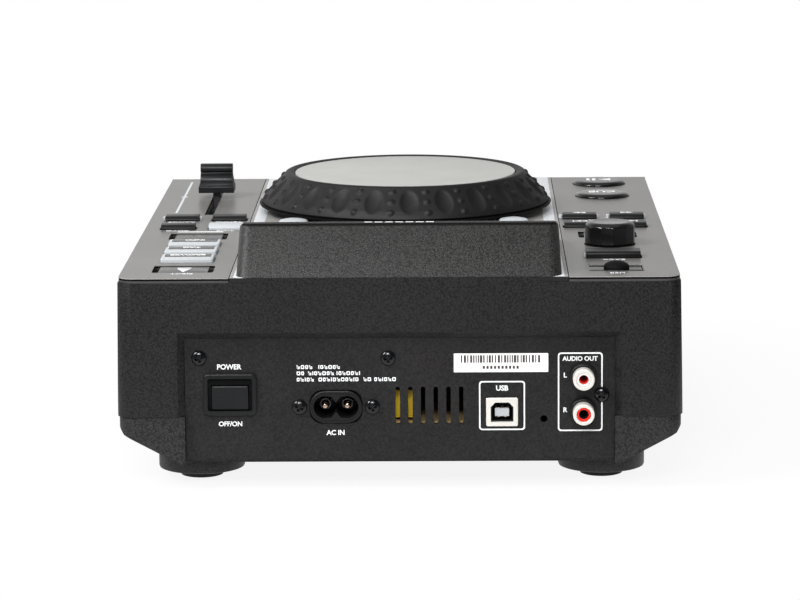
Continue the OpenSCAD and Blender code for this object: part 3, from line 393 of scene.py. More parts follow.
def make_board(name, colour, top):
    """Circuit board: solder mask over its copper, and dark parts standing on it."""
    made = Finish(name, 0.35)
    cells = add(made.tree, "TexVoronoi", {"Vector": made.place, "Scale": 240.0}, distance="MANHATTAN")
    copper = ranged(made.tree, cells.outputs["Distance"], 0.32, 0.36, 0.0, 1.0)
    mask = made.blend(copper, shade(colour, 0.75), shade(colour, 1.3))
    made.colour(made.above(top + 0.1), mask, (0.03, 0.032, 0.038))
    made.dull(made.effect("handling", 50)["Mask"], 0.3, 0.45)
    made.bump(copper, 0.4, 0.03)
    return made.material


def make_winding():
    """Yellow tape round the winding, between the dark halves of the core."""
    made = Finish("winding_tape", 0.4, specular=0.2)
    flecks = made.effect("flecks", 1000)["Mask"]
    core, low = (0.03, 0.03, 0.032), LOW["transformer"].z
    tape = made.blend(flecks, (0.92, 0.58, 0.015), (1.0, 0.68, 0.03))
    made.colour(made.above(low + 12), made.blend(made.above(low + 1.2), core, tape), core)
    made.dull(flecks, 0.3, 0.42)
    return made.material


SHELL = moulded("black_shell", (0.0095, 0.0092, 0.0098), 0.46, cell_mm=0.8, depth=0.08, specular=0.4)
LOWER = moulded("black_base", (0.0165, 0.0165, 0.0175), 0.46, cell_mm=0.8, depth=0.08, specular=0.45)
# The hood's top millimetre is a painted shade, darker and without shine
HOOD = moulded("hood_grain", (0.0175, 0.0171, 0.0166), 0.42, cell_mm=0.6, depth=0.12,
               slant=-45, top=HIGH["display_hood"].z - 1.0, specular=0.5)
# The deck plates' cut edges carry a painted highlight, a painted shadow line and a painted rim highlight; the
# insert's don't
DECK_PAINT = make_deck_paint("deck_paint", (0.135, 0.131, 0.125), 0.33, True)
INSERT_PAINT = make_deck_paint("insert_paint", (0.31, 0.303, 0.293), 0.55, False)
PANEL = satin("panel_paint", (0.0105, 0.0094, 0.0098), 0.42, fleck_mm=0.8,
              spread=0.8, depth=0.035, specular=0.35)
RUBBER = make_grip_rubber()
FOOT = satin("foot_rubber", (0.012, 0.012, 0.012), 0.75, fleck_mm=0.7, depth=0.04)
JOG_BAND = satin("jog_band", (0.004, 0.004, 0.0042), 0.5, specular=0.12)
JOG_PLATE = make_jog_plate_paint()
GLOSS = satin("gloss_black", (0.006, 0.006, 0.0065), 0.16, spread=0.2, depth=0.002)
KEY = satin("key_black", (0.004, 0.004, 0.0044), 0.34, depth=0.004, specular=0.32)
LABEL = satin("label_black", (0.022, 0.021, 0.020), 0.2, depth=0.004)
KNOB = satin("knob_black", (0.005, 0.0055, 0.0065), 0.3, depth=0.004, specular=0.4)
DEEP = satin("deep_black", (0.004, 0.004, 0.0045), 0.6, depth=0.006, specular=0.12)
WHITE_KEY = satin("white_key", (0.46, 0.485, 0.505), 0.32, spread=0.04, depth=0.003)
STRIPE = satin("white_stripe", (0.62, 0.64, 0.66), 0.38, spread=0.06, depth=0.004)
PRINT = satin("white_print", (0.80, 0.81, 0.82), 0.5, spread=0.05, depth=0.004)
STICKER = satin("sticker_paper", (0.82, 0.80, 0.80), 0.45, spread=0.03, depth=0.004)
INK = satin("sticker_ink", (0.035, 0.025, 0.028), 0.5)
SOCKET = satin("socket_black", (0.009, 0.009, 0.0095), 0.3, depth=0.006, specular=0.3)
SWITCH = satin("switch_black", (0.009, 0.0094, 0.0102), 0.3, depth=0.006, specular=0.28)
SCREW = satin("screw_black", (0.003, 0.0034, 0.0042), 0.13, depth=0.002, specular=0.55)
DARK_PLASTIC = satin("drive_plastic", (0.03, 0.03, 0.032), 0.42)
SLED = satin("sled_plastic", (0.05, 0.052, 0.056), 0.4)
ROLLER = satin("roller_rubber", (0.02, 0.02, 0.021), 0.7, depth=0.02)
NICKEL = metal("nickel", (0.80, 0.77, 0.73), 0.2)
TIN = satin("tin_plate", (0.82, 0.79, 0.74), 0.32, spread=0.05, depth=0.003, metallic=0.35)
PIN_RING = satin("pin_ring", (0.10, 0.10, 0.105), 0.35, depth=0.004)
STEEL = metal("drive_steel", (0.52, 0.53, 0.54), 0.34, line_mm=0.3)
MOTOR = metal("motor_can", (0.60, 0.61, 0.62), 0.28)
SHAFT = metal("shaft_steel", (0.66, 0.67, 0.68), 0.2)
BRASS = metal("pin_brass", (0.85, 0.62, 0.46), 0.22)
WHITE_CORE = satin("white_insulator", (0.72, 0.71, 0.68), 0.35, spread=0.04)
RED_CORE = satin("red_insulator", (0.80, 0.022, 0.012), 0.34, spread=0.08, specular=0.3)
WINDOW = make_window()
CELL = make_display_glass()
GREEN_BOARD = make_board("green_board", (0.020, 0.11, 0.045), LOW["main_board"].z + 1.6)
TAN_BOARD = make_board("tan_board", (0.50, 0.36, 0.17), LOW["power_board"].z + 1.6)
CONTROL_BOARD = make_board("control_board", (0.020, 0.10, 0.042), LOW["control_boards"].z + 1.6)
TAPE = make_winding()
FELT = satin("slot_felt", (0.012, 0.012, 0.012), 0.95, fleck_mm=0.25, depth=0.08)


# ---- shaping -------------------------------------------------------------------------------


def linked(name, data):
    """An object of that data, put into the scene."""
    obj = bpy.data.objects.new(name, data)
    bpy.context.scene.collection.objects.link(obj)
    return obj


def as_object(name, bm):
    """Puts a shape into the scene, and frees it."""
    mesh = bpy.data.meshes.new(name)
    bm.to_mesh(mesh)
    bm.free()
    return linked(name, mesh)


def evaluated_shape(obj):
    """The shape that an object's modifiers give, or its text."""
    evaluated = obj.evaluated_get(bpy.context.evaluated_depsgraph_get())
    bm = bmesh.new()
    bm.from_mesh(evaluated.to_mesh())
    evaluated.to_mesh_clear()
    return bm


def placed(bm, matrix):
    bmesh.ops.transform(bm, matrix=matrix, verts=bm.verts)
    return bm


def soften(bm, edges, width, steps=3):
    """Rounds edges of a mesh, where width is above 0."""
    if width and edges:
        bmesh.ops.bevel(bm, geom=edges, offset=width, offset_type="OFFSET", segments=steps,
                        profile=0.5, affect="EDGES", clamp_overlap=True, material=-1)


def edges_at(bm, z):
    return [e for e in bm.edges if all(abs(v.co.z - z) < 1e-4 for v in e.verts)]


def slab(size, centre, corner=0.0, edge=0.0, under=0.0, corner_steps=5, edge_steps=3):
    """A block with upright corners of radius corner, and its top and lower rims rounded."""
    bm = bmesh.new()
    place = Matrix.Translation(centre) @ Matrix.Diagonal((*size, 1))
    bmesh.ops.create_cube(bm, size=1, matrix=place)
    upright = [e for e in bm.edges if abs(e.verts[0].co.z - e.verts[1].co.z) > size[2] / 2]
    soften(bm, upright, corner, corner_steps)
    soften(bm, edges_at(bm, centre[2] + size[2] / 2), edge, edge_steps)
    soften(bm, edges_at(bm, centre[2] - size[2] / 2), under, edge_steps)
    return bm


def between(x, y, z, **kw):
    """The same block, given by its limits in X, Y and Z."""
    size = [b - a for a, b in (x, y, z)]
    return slab(size, [(a + b) / 2 for a, b in (x, y, z)], **kw)


def around(middle_x, middle_y, half_x, half_y, z, **kw):
    """The same block, given by its middle, its half sizes and its limits in Z."""
    return between((middle_x - half_x, middle_x + half_x), (middle_y - half_y, middle_y + half_y), z, **kw)


def turned(profile, centre=(0, 0, 0), steps=64):
    """A lathe shape: profile runs through (radius, height) points."""
    bm = bmesh.new()
    verts = [bm.verts.new((r, 0, z)) for r, z in profile]
    for a, b in zip(verts, verts[1:]):
        bm.edges.new((a, b))
    bmesh.ops.spin(bm, geom=bm.verts[:] + bm.edges[:], cent=(0, 0, 0), axis=(0, 0, 1),
                   angle=math.tau, steps=steps, use_merge=True)
    bmesh.ops.remove_doubles(bm, verts=bm.verts, dist=1e-5)
    bmesh.ops.recalc_face_normals(bm, faces=bm.faces)
    bmesh.ops.translate(bm, verts=bm.verts, vec=centre)
    return bm


def bend(centre, radius, start, end, steps=4):
    """Profile points on a round corner, from one angle to the other in degrees."""
    angles = [math.radians(start + (end - start) * i / steps) for i in range(steps + 1)]
    return [(centre[0] + radius * math.cos(a), centre[1] + radius * math.sin(a)) for a in angles]


def shoulder(r, z, reach, rise, degrees):
    """Points of an elliptical shoulder, reach wide and rise high, from radius r at height z."""
    angles = [math.radians(d) for d in degrees]
    return [(r - reach + reach * math.cos(a), z + rise * math.sin(a)) for a in angles]


def drum(r, z0, z1, centre=(0, 0), edge=0.3, under=0.0, steps=48):
    """A plain round post or disc with a rounded top rim."""
    low = bend((r - under, z0 + under), under, -90, 0) if under else [(r, z0)]
    top = bend((r - edge, z1 - edge), edge, 0, 90) if edge else [(r, z1)]
    return turned([(0, z0)] + low + top + [(0, z1)], (*centre, 0), steps)


def tube(outer, inner, z0, z1, centre=(0, 0), edge=0.2, steps=48):
    """A round sleeve, open at both ends."""
    profile = [(inner, z0), (outer, z0)] + bend((outer - edge, z1 - edge), edge, 0, 90)
    profile += bend((inner + edge, z1 - edge), edge, 90, 180) + [(inner, z0)]
    return turned(profile, (*centre, 0), steps)


def prism(outline, z0, z1):
    """A flat outline of X, Y points raised from z0 to z1."""
    bm = bmesh.new()
    face = bm.faces.new([bm.verts.new((x, y, z0)) for x, y in outline])
    raised = bmesh.ops.extrude_face_region(bm, geom=[face])
    verts = [g for g in raised["geom"] if isinstance(g, bmesh.types.BMVert)]
    bmesh.ops.translate(bm, verts=verts, vec=(0, 0, z1 - z0))
    bmesh.ops.recalc_face_normals(bm, faces=bm.faces)
    return bm


def bar(outline, width, ends=0.0):
    """An outline of Y, Z points run along X, with the rims of its two ends rounded."""
    along_x = Matrix(((0, 0, 1, 0), (1, 0, 0, 0), (0, 1, 0, 0), (0, 0, 0, 1)))
    bm = placed(prism(outline, -width / 2, width / 2), along_x)
    rims = [e for e in bm.edges if all(abs(abs(v.co.x) - width / 2) < 1e-4 for v in e.verts)]
    soften(bm, rims, ends, 3)
    return bm


def together(*shapes):
    """One mesh of several shapes."""
    whole = bmesh.new()
    for shape in shapes:
        mesh = bpy.data.meshes.new("part")
        shape.to_mesh(mesh)
        shape.free()
        whole.from_mesh(mesh)
        bpy.data.meshes.remove(mesh)
    return whole


def moved(bm, vec=(0, 0, 0), turn=None):
    """Turns a shape by degrees about an axis through 0, then shifts it."""
    if turn:
        angle, axis = turn
        matrix = Matrix.Rotation(math.radians(angle), 3, axis)
        bmesh.ops.rotate(bm, verts=bm.verts, cent=(0, 0, 0), matrix=matrix)
    bmesh.ops.translate(bm, verts=bm.verts, vec=vec)
    return bm


def on_rear(bm, x=0.0, y=0.0, z=0.0):
    """Stands a shape drawn flat, as seen from behind the player, on the rear plane y."""
    stood = Matrix.Rotation(math.pi, 4, "Z") @ Matrix.Rotation(math.pi / 2, 4, "X")
    return placed(bm, Matrix.Translation((x, y, z)) @ stood)


def carved(body, *cutters, operation="DIFFERENCE"):
    """The body with its cutters taken out of it, or only what it shares with them."""
    def staged(bm):
        bmesh.ops.recalc_face_normals(bm, faces=bm.faces)
        return as_object("cut", bm)

    target, tool = staged(body), staged(together(*cutters))
    cutting = target.modifiers.new("carve", "BOOLEAN")
    cutting.object, cutting.operation, cutting.solver = tool, operation, "EXACT"
    cutting.use_self = True
    result = evaluated_shape(target)
    for obj in (target, tool):
        mesh = obj.data
        bpy.data.objects.remove(obj)
        bpy.data.meshes.remove(mesh)
    return result


def piece(name, bm, material, body="casing", slot=None, instead_of=(), sharp=38):
    """Makes the finished piece of a shape in millimetres, and lets it ride on its body."""
    bmesh.ops.remove_doubles(bm, verts=bm.verts, dist=1e-4)
    bmesh.ops.scale(bm, vec=(MM,) * 3, verts=bm.verts)
    obj = as_object(name, bm)
    obj.data.shade_smooth()
    obj.data.set_sharp_from_angle(angle=math.radians(sharp))
    obj.data.materials.append(material)
    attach(obj, body)
    if instead_of:
        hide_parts(*([instead_of] if isinstance(instead_of, str) else instead_of))
    return obj


def rear_piece(name, bm, place, material, slot=None, instead_of=()):
    """The piece of a shape drawn flat, stood on the rear at that X, Y, Z."""
    piece(name, on_rear(bm, *place), material, slot=slot, instead_of=instead_of)


def lettering(text, height, centre, thick=0.06, spacing=0.97, bold=0.04):
    """Flat letters as seen from above, their caps that high and their middle at centre."""
    curve = bpy.data.curves.new("letters", "FONT")
    curve.body, curve.size, curve.extrude = text, height / 0.69, thick / 2
    curve.align_x, curve.align_y = "CENTER", "CENTER"
    curve.space_character = spacing
    curve.offset = height * bold
    curve.resolution_u = 3
    obj = linked("letters", curve)
    bm = evaluated_shape(obj)
    bpy.data.objects.remove(obj)
    bpy.data.curves.remove(curve)
    return moved(bm, centre)


def frame_line(width, height, centre, line=0.6, corner=1.2, thick=0.06):
    """A printed frame: a thin rounded line round a rectangle."""
    outer = slab((width, height, thick), centre, corner=corner)
    inner = slab((width - 2 * line, height - 2 * line, 3 * thick), centre, corner=max(0.0, corner - line / 2))
    return carved(outer, inner)


def dress(node, material, round_edge=0.0, steps=2, angle=32):
    """Keeps a CAD node, with its finish and with its crisp edges eased."""
    obj = nodes[node]
    if not obj.material_slots:
        obj.data.materials.append(material)
    for socket in obj.material_slots:
        socket.material = material
    if round_edge:
        weld = obj.modifiers.new("weld", "WELD")
        weld.merge_threshold = 2e-6
        plain = obj.modifiers.new("plain", "DECIMATE")
        plain.decimate_type, plain.angle_limit = "DISSOLVE", math.radians(0.5)
        ease = obj.modifiers.new("ease", "BEVEL")
        ease.width, ease.segments = round_edge * MM, steps
        ease.limit_method, ease.angle_limit = "ANGLE", math.radians(angle)
        ease.use_clamp_overlap, ease.loop_slide = True, False
        ease.harden_normals = False


# ---- casing and inside ---------------------------------------------------------------------

# Finish and width of the eased edge, in millimetres, of each CAD node that is kept
KEPT = {
    "upper_shell": (SHELL, 0.8),
    "lower_shell": (LOWER, 0.5),
    "left_deck_plate": (DECK_PAINT, 0.12),
    "right_deck_plate": (DECK_PAINT, 0.12),
    "center_insert": (INSERT_PAINT, 0.1),
    "display_lens": (WINDOW, 0.2),
    "lcd_panel": (CELL, 0),
    "rear_panel": (PANEL, 0.3),
    "feet": (LOWER, 0.8),
    "rubber_pads": (FOOT, 0.6),
    "power_button": (SWITCH, 0.3),
    "main_board": (GREEN_BOARD, 0),
    "power_board": (TAN_BOARD, 0),
    "transformer": (TAPE, 0),
    "control_boards": (CONTROL_BOARD, 0),
    "drive_chassis": (STEEL, 0),
    "turntable": (DARK_PLASTIC, 0.3),
    "pickup_sled": (SLED, 0.3),
    "lead_screw": (SHAFT, 0),
    "drive_motors": (MOTOR, 0.4),
    "loading_roller": (ROLLER, 0.3),
    "jog_axle": (STEEL, 0),
    "fader_body": (STEEL, 0),
    "fader_lever": (DARK_PLASTIC, 0.2),
    "select_encoder": (STEEL, 0.2),
    "select_shaft": (SHAFT, 0),
}
for node, (material, round_edge) in KEPT.items():
    dress(node, material, round_edge)


def make_slot_lips():
    """Two felt lips that close the disc slot behind the nose."""
    half, gap, reach, depth = 64.5, 0.25, 2.95, 1.2
    front = LOW["upper_shell"].y + 1.0
    slot_z = 42.0
    lips = []
    for side in (-1, 1):
        z = sorted((slot_z + side * gap, slot_z + side * reach))
        lips.append(between((-half, half), (front, front + depth), z, edge=0.2, under=0.2))
    piece("slot_lips", together(*lips), FELT)


def crowned(body, width, depth, brow, crest):
    """Rounds both side ends of the hood's top, by a slab that rises from brow to crest."""
    crown = slab((width, 3 * depth, 80), (0, 0, -40), edge=2.0, edge_steps=6)
    rise = math.atan((crest[1] - brow[1]) / (crest[0] - brow[0]))
    tilt = Matrix.Translation((0, *brow)) @ Matrix.Rotation(rise, 4, "X")
    return carved(body, placed(crown, tilt), operation="INTERSECT")


def flare(body, width, foot_z, top_z):
    """Spreads the hood's sides at the foot and draws them in at the top."""
    foot_out, top_in = 0.8, 0.2
    for v in body.verts:
        share = (v.co.z - foot_z) / (top_z - foot_z)
        v.co.x *= 1 + 2 * (foot_out * (1 - share) - top_in * share) / width


def make_hood():
    """Display hood: a back that leans, a brow, the window's slope and a hollow inside."""
    low, high, rear = LOW["display_hood"], HIGH["display_hood"], HIGH["upper_shell"].y
    width, lean, wall, round_r = high.x - low.x, 14.0, 2.5, 4.6
    sill_in, sill_up = 2, 5
    brow, crest = (high.y - lean - 9.8, high.z - 0.9), (high.y - lean + 0.2, high.z)
    outline = [(low.y, low.z), (low.y, low.z + 3.2), (low.y + sill_in, low.z + sill_up), brow,
               crest, (rear, low.z)]
    middle_y, depth = (low.y + high.y) / 2, high.y - low.y
    body = bar(outline, width)
    back = [e for e in body.edges if abs(e.verts[0].co.z - e.verts[1].co.z) > 5
            and all(abs(v.co.x) > width / 2 - 0.01 and v.co.y > high.y - lean for v in e.verts)]
    soften(body, back, round_r, 8)
    plan = slab((width, depth + 40, 60), (0, middle_y + 20, low.z), corner=5, corner_steps=10)
    body = carved(body, plan, operation="INTERSECT")
    body = crowned(body, width, depth, brow, crest)
    bmesh.ops.remove_doubles(body, verts=body.verts, dist=1e-4)
    bmesh.ops.dissolve_limit(body, angle_limit=math.radians(0.5), verts=body.verts, edges=body.edges)
    rims = [e for e in body.edges if len(e.link_faces) == 2 and e.calc_face_angle(0) > math.radians(32)
            and min(v.co.z for v in e.verts) > low.z + 1]
    soften(body, rims, 1.1, 4)
    flare(body, width, low.z, high.z)
    room = [(high.y - wall - 0.6, low.z - 1), (high.y - lean - 1.4, high.z - 2.4), (brow[0], brow[1] - 2.4),
            (low.y + 4.4, low.z + 2.7), (low.y + 2.4, low.z + 0.8), (low.y + 2.4, low.z - 1)]
    inner_plan = slab((width - 2 * wall, depth - 2 * wall, 70), (0, middle_y, low.z), corner=3)
    inside = carved(bar(list(reversed(room)), width - 2 * wall), inner_plan, operation="INTERSECT")
    slope = math.atan((span("display_hood").z - 5.9) / (depth + 0.2 - lean - 12))
    sill = Matrix.Translation((0, low.y + sill_in, low.z + sill_up)) @ Matrix.Rotation(slope, 4, "X")
    window_w, window_d, window_t, step = 104, 50, 1.6, 8
    rebate = slab((window_w, window_d, window_t + 2), (0, step + window_d / 2, 1 - window_t / 2))
    view = slab((window_w - 4, window_d - 4, 12), (0, step + window_d / 2, -2))
    for cutter in (rebate, view):
        placed(cutter, sill)
    cover = carved(carved(carved(body, inside), rebate), view)
    piece("hood_cover", cover, HOOD, slot="hood_black", instead_of="display_hood", sharp=25)
    half = width / 2 - round_r
    hem = between((-half, half), (DECK_REAR + 0.01, rear + 0.02), (DECK - 2.9, DECK + 0.05))
    piece("hood_hem", hem, SHELL, slot="black_shell")


def make_switch():
    """Frame of the power switch, with a step round its push that a thin deep-black sheet lines as painted
    shade.
    """
    low, high, centre = limits("switch_housing")
    width, tall, back, face = high.x - low.x, high.z - low.z, low.y, high.y
    push = middle("power_button")
    gap, step_deep = 0.4, 2.0
    push_w, push_tall = span("power_button").x + gap, span("power_button").z + gap
    frame_z = (face + PANEL_FACE) / 2 - back
    frame_face = slab((width, tall, face - PANEL_FACE), (0, 0, frame_z), corner=2.4, edge=0.6)
    body = slab((width - 2.6, tall - 2.6, PANEL_FACE - back + 0.1), (0, 0, (PANEL_FACE - back) / 2))
    step = slab((width - 3.6, tall - 3.8, 4), (0, 0, face - back), corner=0.9)
    well = slab((push_w, push_tall, 40), (0, push.z - centre.z, 21.5))
    housing = carved(carved(together(frame_face, body), step), well)
    place = (centre.x, back, centre.z)
    rear_piece("switch_frame", housing, place, SWITCH, "switch_black", "switch_housing")
    # Painted shade: a thin deep-black sheet on the floor of the step round the push
    liner = carved(slab((width - 3.7, tall - 3.9, 0.12), (0, 0, face - step_deep + 0.08 - back), corner=0.9),
                   slab((push_w, push_tall, 3), (0, push.z - centre.z, face - step_deep - back)))
    rear_piece("switch_step_shade", liner, place, DEEP)


# ---- jog wheel -----------------------------------------------------------------------------

DIMPLES = 24
FIRST_DIMPLE = math.radians(92.5)


def grip_lift(across, beside, rise):
    """How far the grip stands out at a point, from its distances to a hollow and to the studs beside it."""
    hollow_w, hollow_l, hollow_depth = 3.85, 6.1, 1.15
    stud_r, stud_h, stud_pitch = 1.5, 0.75, 5.4
    lift = 0.0
    inside = 1 - (across / hollow_w) ** 2 - (rise / hollow_l) ** 2
    if inside > 0:
        lift = -hollow_depth * inside ** 0.8
    for row in (-1, 0, 1):
        close = 1 - (beside ** 2 + (rise - row * stud_pitch) ** 2) / stud_r ** 2
        if close > 0:
            lift = stud_h * close ** 0.9
    return lift


def make_jog_ring():
    """Rubber grip: a cone that steepens to its skirt, oval hollows and three studs between each pair."""
    low, top = LOW["jog_ring"].z, HIGH["jog_ring"].z
    foot_r, seat_r = span("jog_ring").x / 2, span("jog_plate").x / 2 + 0.3
    brow_r = foot_r - 9.8
    knots = [(foot_r, low - 1.8), (foot_r - 0.1, low - 0.8), (foot_r - 0.6, low + 0.5),
             (foot_r - 1.8, low + 2.3), (foot_r - 5.0, low + 5.7), (brow_r, top - 0.7)]
    slope, outward = [], []
    for a, b in zip(knots, knots[1:]):
        a, b = Vector(a), Vector(b)
        rows = max(2, round((b - a).length / 0.36))
        slope += [a.lerp(b, i / rows) for i in range(rows)]
        outward += [Vector((b.y - a.y, a.x - b.x)).normalized()] * rows
    run = [0.0]
    for a, b in zip(slope, slope[1:]):
        run.append(run[-1] + (b - a).length)
    profile = [(foot_r - 3, low - 1.8)] + [tuple(point) for point in slope] + [(brow_r, top - 0.7)]
    profile += [(brow_r - 0.5, top + 0.05), (brow_r - 1.2, top + 0.42), (brow_r - 1.9, top + 0.5),
                (brow_r - 2.7, top + 0.35), (seat_r + 0.4, top - 0.05), (seat_r, top - 0.4)]
    profile += [(seat_r, low + 9.0), (seat_r - 2.5, low + 9.0), (seat_r - 2.5, low + 7.6)]
    profile += [(foot_r - 5, low), (foot_r - 3, low - 1.8)]
    bm = turned(profile, steps=720)
    middle_run = run[min(range(len(slope)), key=lambda i: abs(slope[i].x - (foot_r - 5.1)))]
    pitch = math.tau / DIMPLES
    level = {round(point.y, 4): i for i, point in enumerate(slope)}
    for v in bm.verts:
        i, r = level.get(round(v.co.z, 4)), v.co.xy.length
        if i is None or i < 2 or abs(r - slope[i].x) > 1e-3:
            continue
        turn = ((math.atan2(v.co.y, v.co.x) - FIRST_DIMPLE) / pitch + 0.5) % 1 - 0.5
        across, beside = turn * pitch * r, (turn % 1 - 0.5) * pitch * r
        push = outward[i] * grip_lift(across, beside, run[i] - middle_run)
        v.co = Vector((v.co.x * (1 + push.x / r), v.co.y * (1 + push.x / r), v.co.z + push.y))
    piece("jog_grip", moved(bm, axis("jog_ring")), RUBBER, "jog_wheel", "jog_rubber", "jog_ring", sharp=50)


def make_jog_plate():
    """Painted plate that fills the grip, its rim rounded."""
    low, top = LOW["jog_plate"].z, HIGH["jog_plate"].z - 0.25
    r = span("jog_plate").x / 2
    profile = [(0, low), (r, low)] + bend((r - 0.35, top - 0.35), 0.35, 0, 90) + [(0, top)]
    plate = turned(profile, axis("jog_plate"), 192)
    piece("jog_top", plate, JOG_PLATE, "jog_wheel", "jog_silver", "jog_plate")


def make_jog_base():
    """The band under the grip, with the hub that turns on the axle."""
    low, band_low = LOW["jog_base"].z, DECK + 3.1
    band_top, r = band_low + 2.4, span("jog_base").x / 2
    bore, hub, code = 4.05, 7.5, 20
    hub_top = band_low + 7.4
    profile = [(bore, low), (code, low), (code, low + 1), (hub, low + 1), (hub, band_low)]
    profile += bend((r - 0.4, band_low + 0.4), 0.4, -90, 0)
    profile += [(r, band_low + 0.7), (r - 2.2, band_low + 0.9), (r - 2.2, band_top)]
    profile += [(hub, band_top), (hub, hub_top), (0, hub_top)]
    profile += [(0, hub_top - 1), (bore, hub_top - 1), (bore, low)]
    band = turned(profile, axis("jog_base"), 256)
    piece("jog_band", band, JOG_BAND, "jog_wheel", "jog_black", "jog_base")


# ---- fader and select knob -----------------------------------------------------------------


def make_fader_knob():
    """Cap with a bead along its top, a round shoulder on each side and a wide foot."""
    base, top, reach = LOW["fader_knob"].z, HIGH["fader_knob"].z, span("fader_knob").y / 2
    width, waist = span("fader_knob").x, 0.75
    side = [(reach, base), (reach, base + 2.5), (reach - 0.1, base + 2.85),
            (reach - 0.5, base + 3.05), (4.8, base + 3.2)]
    side += bend((1.3, base + 4.8), 3.35, 0, 68, 8) + [(2.1, base + 8.5), (2.05, base + 8.75)]
    side += bend((0.9, top - 2.15), 2.1, -28, 90, 10)
    outline = side + [(-y, z) for y, z in reversed(side)]
    bm = bar(outline, width, ends=0.3)
    for v in bm.verts:
        up = max(0.0, min(1.0, (v.co.z - base - 2.5) / 2.4))
        v.co.x -= math.copysign(waist * up, v.co.x)
    moved(bm, axis("fader_knob"))
    piece("fader_cap", bm, KNOB, "pitch_fader", "knob_dark", "fader_knob", sharp=50)


def make_select_knob():
    """Gloss knob: a small flat top, a round shoulder and twelve finger flats."""
    low, top = LOW["select_knob"].z, HIGH["select_knob"].z + 0.5
    r, flats, bore = span("select_knob").x / 2, 12, 2.55
    flat_low, flat_top = low + 0.1, top - 2.3
    profile = [(bore, low), (r - 0.2, low)]
    profile += [(r, flat_low + (flat_top - flat_low) * i / 6) for i in range(7)]
    profile += shoulder(r, flat_top, 3.0, 2.3, [7.5 * i for i in range(1, 13)])
    profile += [(r - 3.4, top - 0.06), (0, top - 0.08), (0, top - 3.0), (bore, top - 3.0), (bore, low)]
    bm = turned(profile, steps=flats * 16)
    half = math.pi / flats
    for v in bm.verts:
        angle = (math.atan2(v.co.y, v.co.x) - math.radians(97)) % (2 * half) - half
        reach = r * (0.2 + 0.8 * math.cos(half) / math.cos(angle))
        if v.co.xy.length > reach:
            v.co.xy *= reach / v.co.xy.length
    moved(bm, axis("select_knob"))
    piece("select_grip", bm, GLOSS, "select_dial", "gloss_black", "select_knob", sharp=28)
    # Painted shadow: a thin deep-black ring on the deck round the foot of the knob
    seat = [(5.2, DECK - 0.2), (r + 0.2, DECK - 0.2), (r + 0.2, DECK + 0.15), (r - 0.1, DECK + 0.3),
            (5.2, DECK + 0.3), (5.2, DECK - 0.2)]
    piece("select_shadow_ring", turned(seat, axis("select_knob"), 96), DEEP, slot="socket_black")


# ---- keys and buttons ----------------------------------------------------------------------


def key_piece(node, cap, material, slot, flange=None, **kw):
    """The piece of one key: its cap, with the hidden flange and stem under it."""
    centre = axis(node)[:2]
    if flange is None:
        size = (span(node).x, span(node).y, FLANGE_THICK)
        flange = slab(size, (*centre, FLANGE_LOW + FLANGE_THICK / 2), corner=1.0)
    stem = drum(STEM_R, LOW[node].z, FLANGE_LOW + 0.1, centre, edge=0, steps=24)
    piece(node + "_cap", together(cap, flange, stem), material, node + "_body", slot, node, **kw)


def cap_depth(node):
    """Depth of a cap between the lips of its flange."""
    return HIGH[node].y - LOW[node].y - 2 * KEY_LIP


def arched_cap(node, crown, fall, round_y, ends):
    """Key cap that is level towards the user and curves down towards the sockets."""
    width, half, top = span(node).x - CAP_SHY, cap_depth(node) / 2, HIGH[node].z + crown
    outline = [(-half, CAP_BASE), (half, CAP_BASE)]
    outline += shoulder(half, top - fall, round_y, fall, range(0, 91, 10))
    outline += bend((-half + 0.5, top - 0.5), 0.5, 90, 180)
    return moved(bar(outline, width, ends), axis(node))


def make_small_keys():
    """Two blocks of four arched keys, one of them lit."""
    names = ["search_back_key", "search_forward_key", "track_back_key", "track_forward_key",
             "tempo_range_key", "master_tempo_key", "time_mode_key", "auto_cue_key"]
    for name in names:
        cap = arched_cap(name, KEY_CROWN, 1.5, 3.2, 0.45)
        lit = name == "time_mode_key"
        key_piece(name, cap, WHITE_KEY if lit else KEY, "key_lit" if lit else "key_dark", sharp=50)


def make_list_keys():
    """Lit keys with a dark label plate let into each top."""
    for name in ("info_key", "tag_list_key", "browse_key"):
        low, high, centre = limits(name)
        depth = cap_depth(name)
        cap = between((low.x, high.x), (centre.y - depth / 2, centre.y + depth / 2),
                      (CAP_BASE, high.z), corner=1.0, edge=0.5)
        key_piece(name, cap, WHITE_KEY, "key_lit")
        label_low = centre.y - depth / 2 + 0.6
        label = between((low.x + 1.3, high.x - 1.3), (label_low, label_low + 6.6),
                        (high.z - 0.2, high.z + 0.12), corner=0.4, edge=0.1)
        piece(name + "_label", label, LABEL, name + "_body", "gloss_black")
        word = name.split("_")[0].upper()
        legend = lettering(word, 2.5, (centre.x, label_low + 2.6, high.z + 0.15), thick=0.1, bold=0.05)
        piece(name + "_legend", legend, PRINT, name + "_body", "stripe_white")


def make_recessed_keys():
    """Three plain keys that sit in wells of their own."""
    for name in ("eject_key", "menu_key", "memory_key"):
        centre, width, depth = middle(name), 19.5, 16.0
        cap = around(centre.x, centre.y, width / 2, depth / 2, (CAP_BASE, HIGH[name].z),
                     corner=0.8, edge=0.35)
        key_piece(name, cap, LABEL, "key_dark")


def make_back_key():
    key_piece("back_key", arched_cap("back_key", 0.6, 1.2, 1.6, 0.5), KEY, "key_dark", sharp=50)


def button_piece(node, profile, material, slot):
    """The piece of one round button: a turned cap over a round flange."""
    flange = drum(span(node).x / 2, FLANGE_LOW, FLANGE_TOP, axis(node)[:2], edge=0, steps=96)
    key_piece(node, turned(profile, axis(node), 96), material, slot, flange)


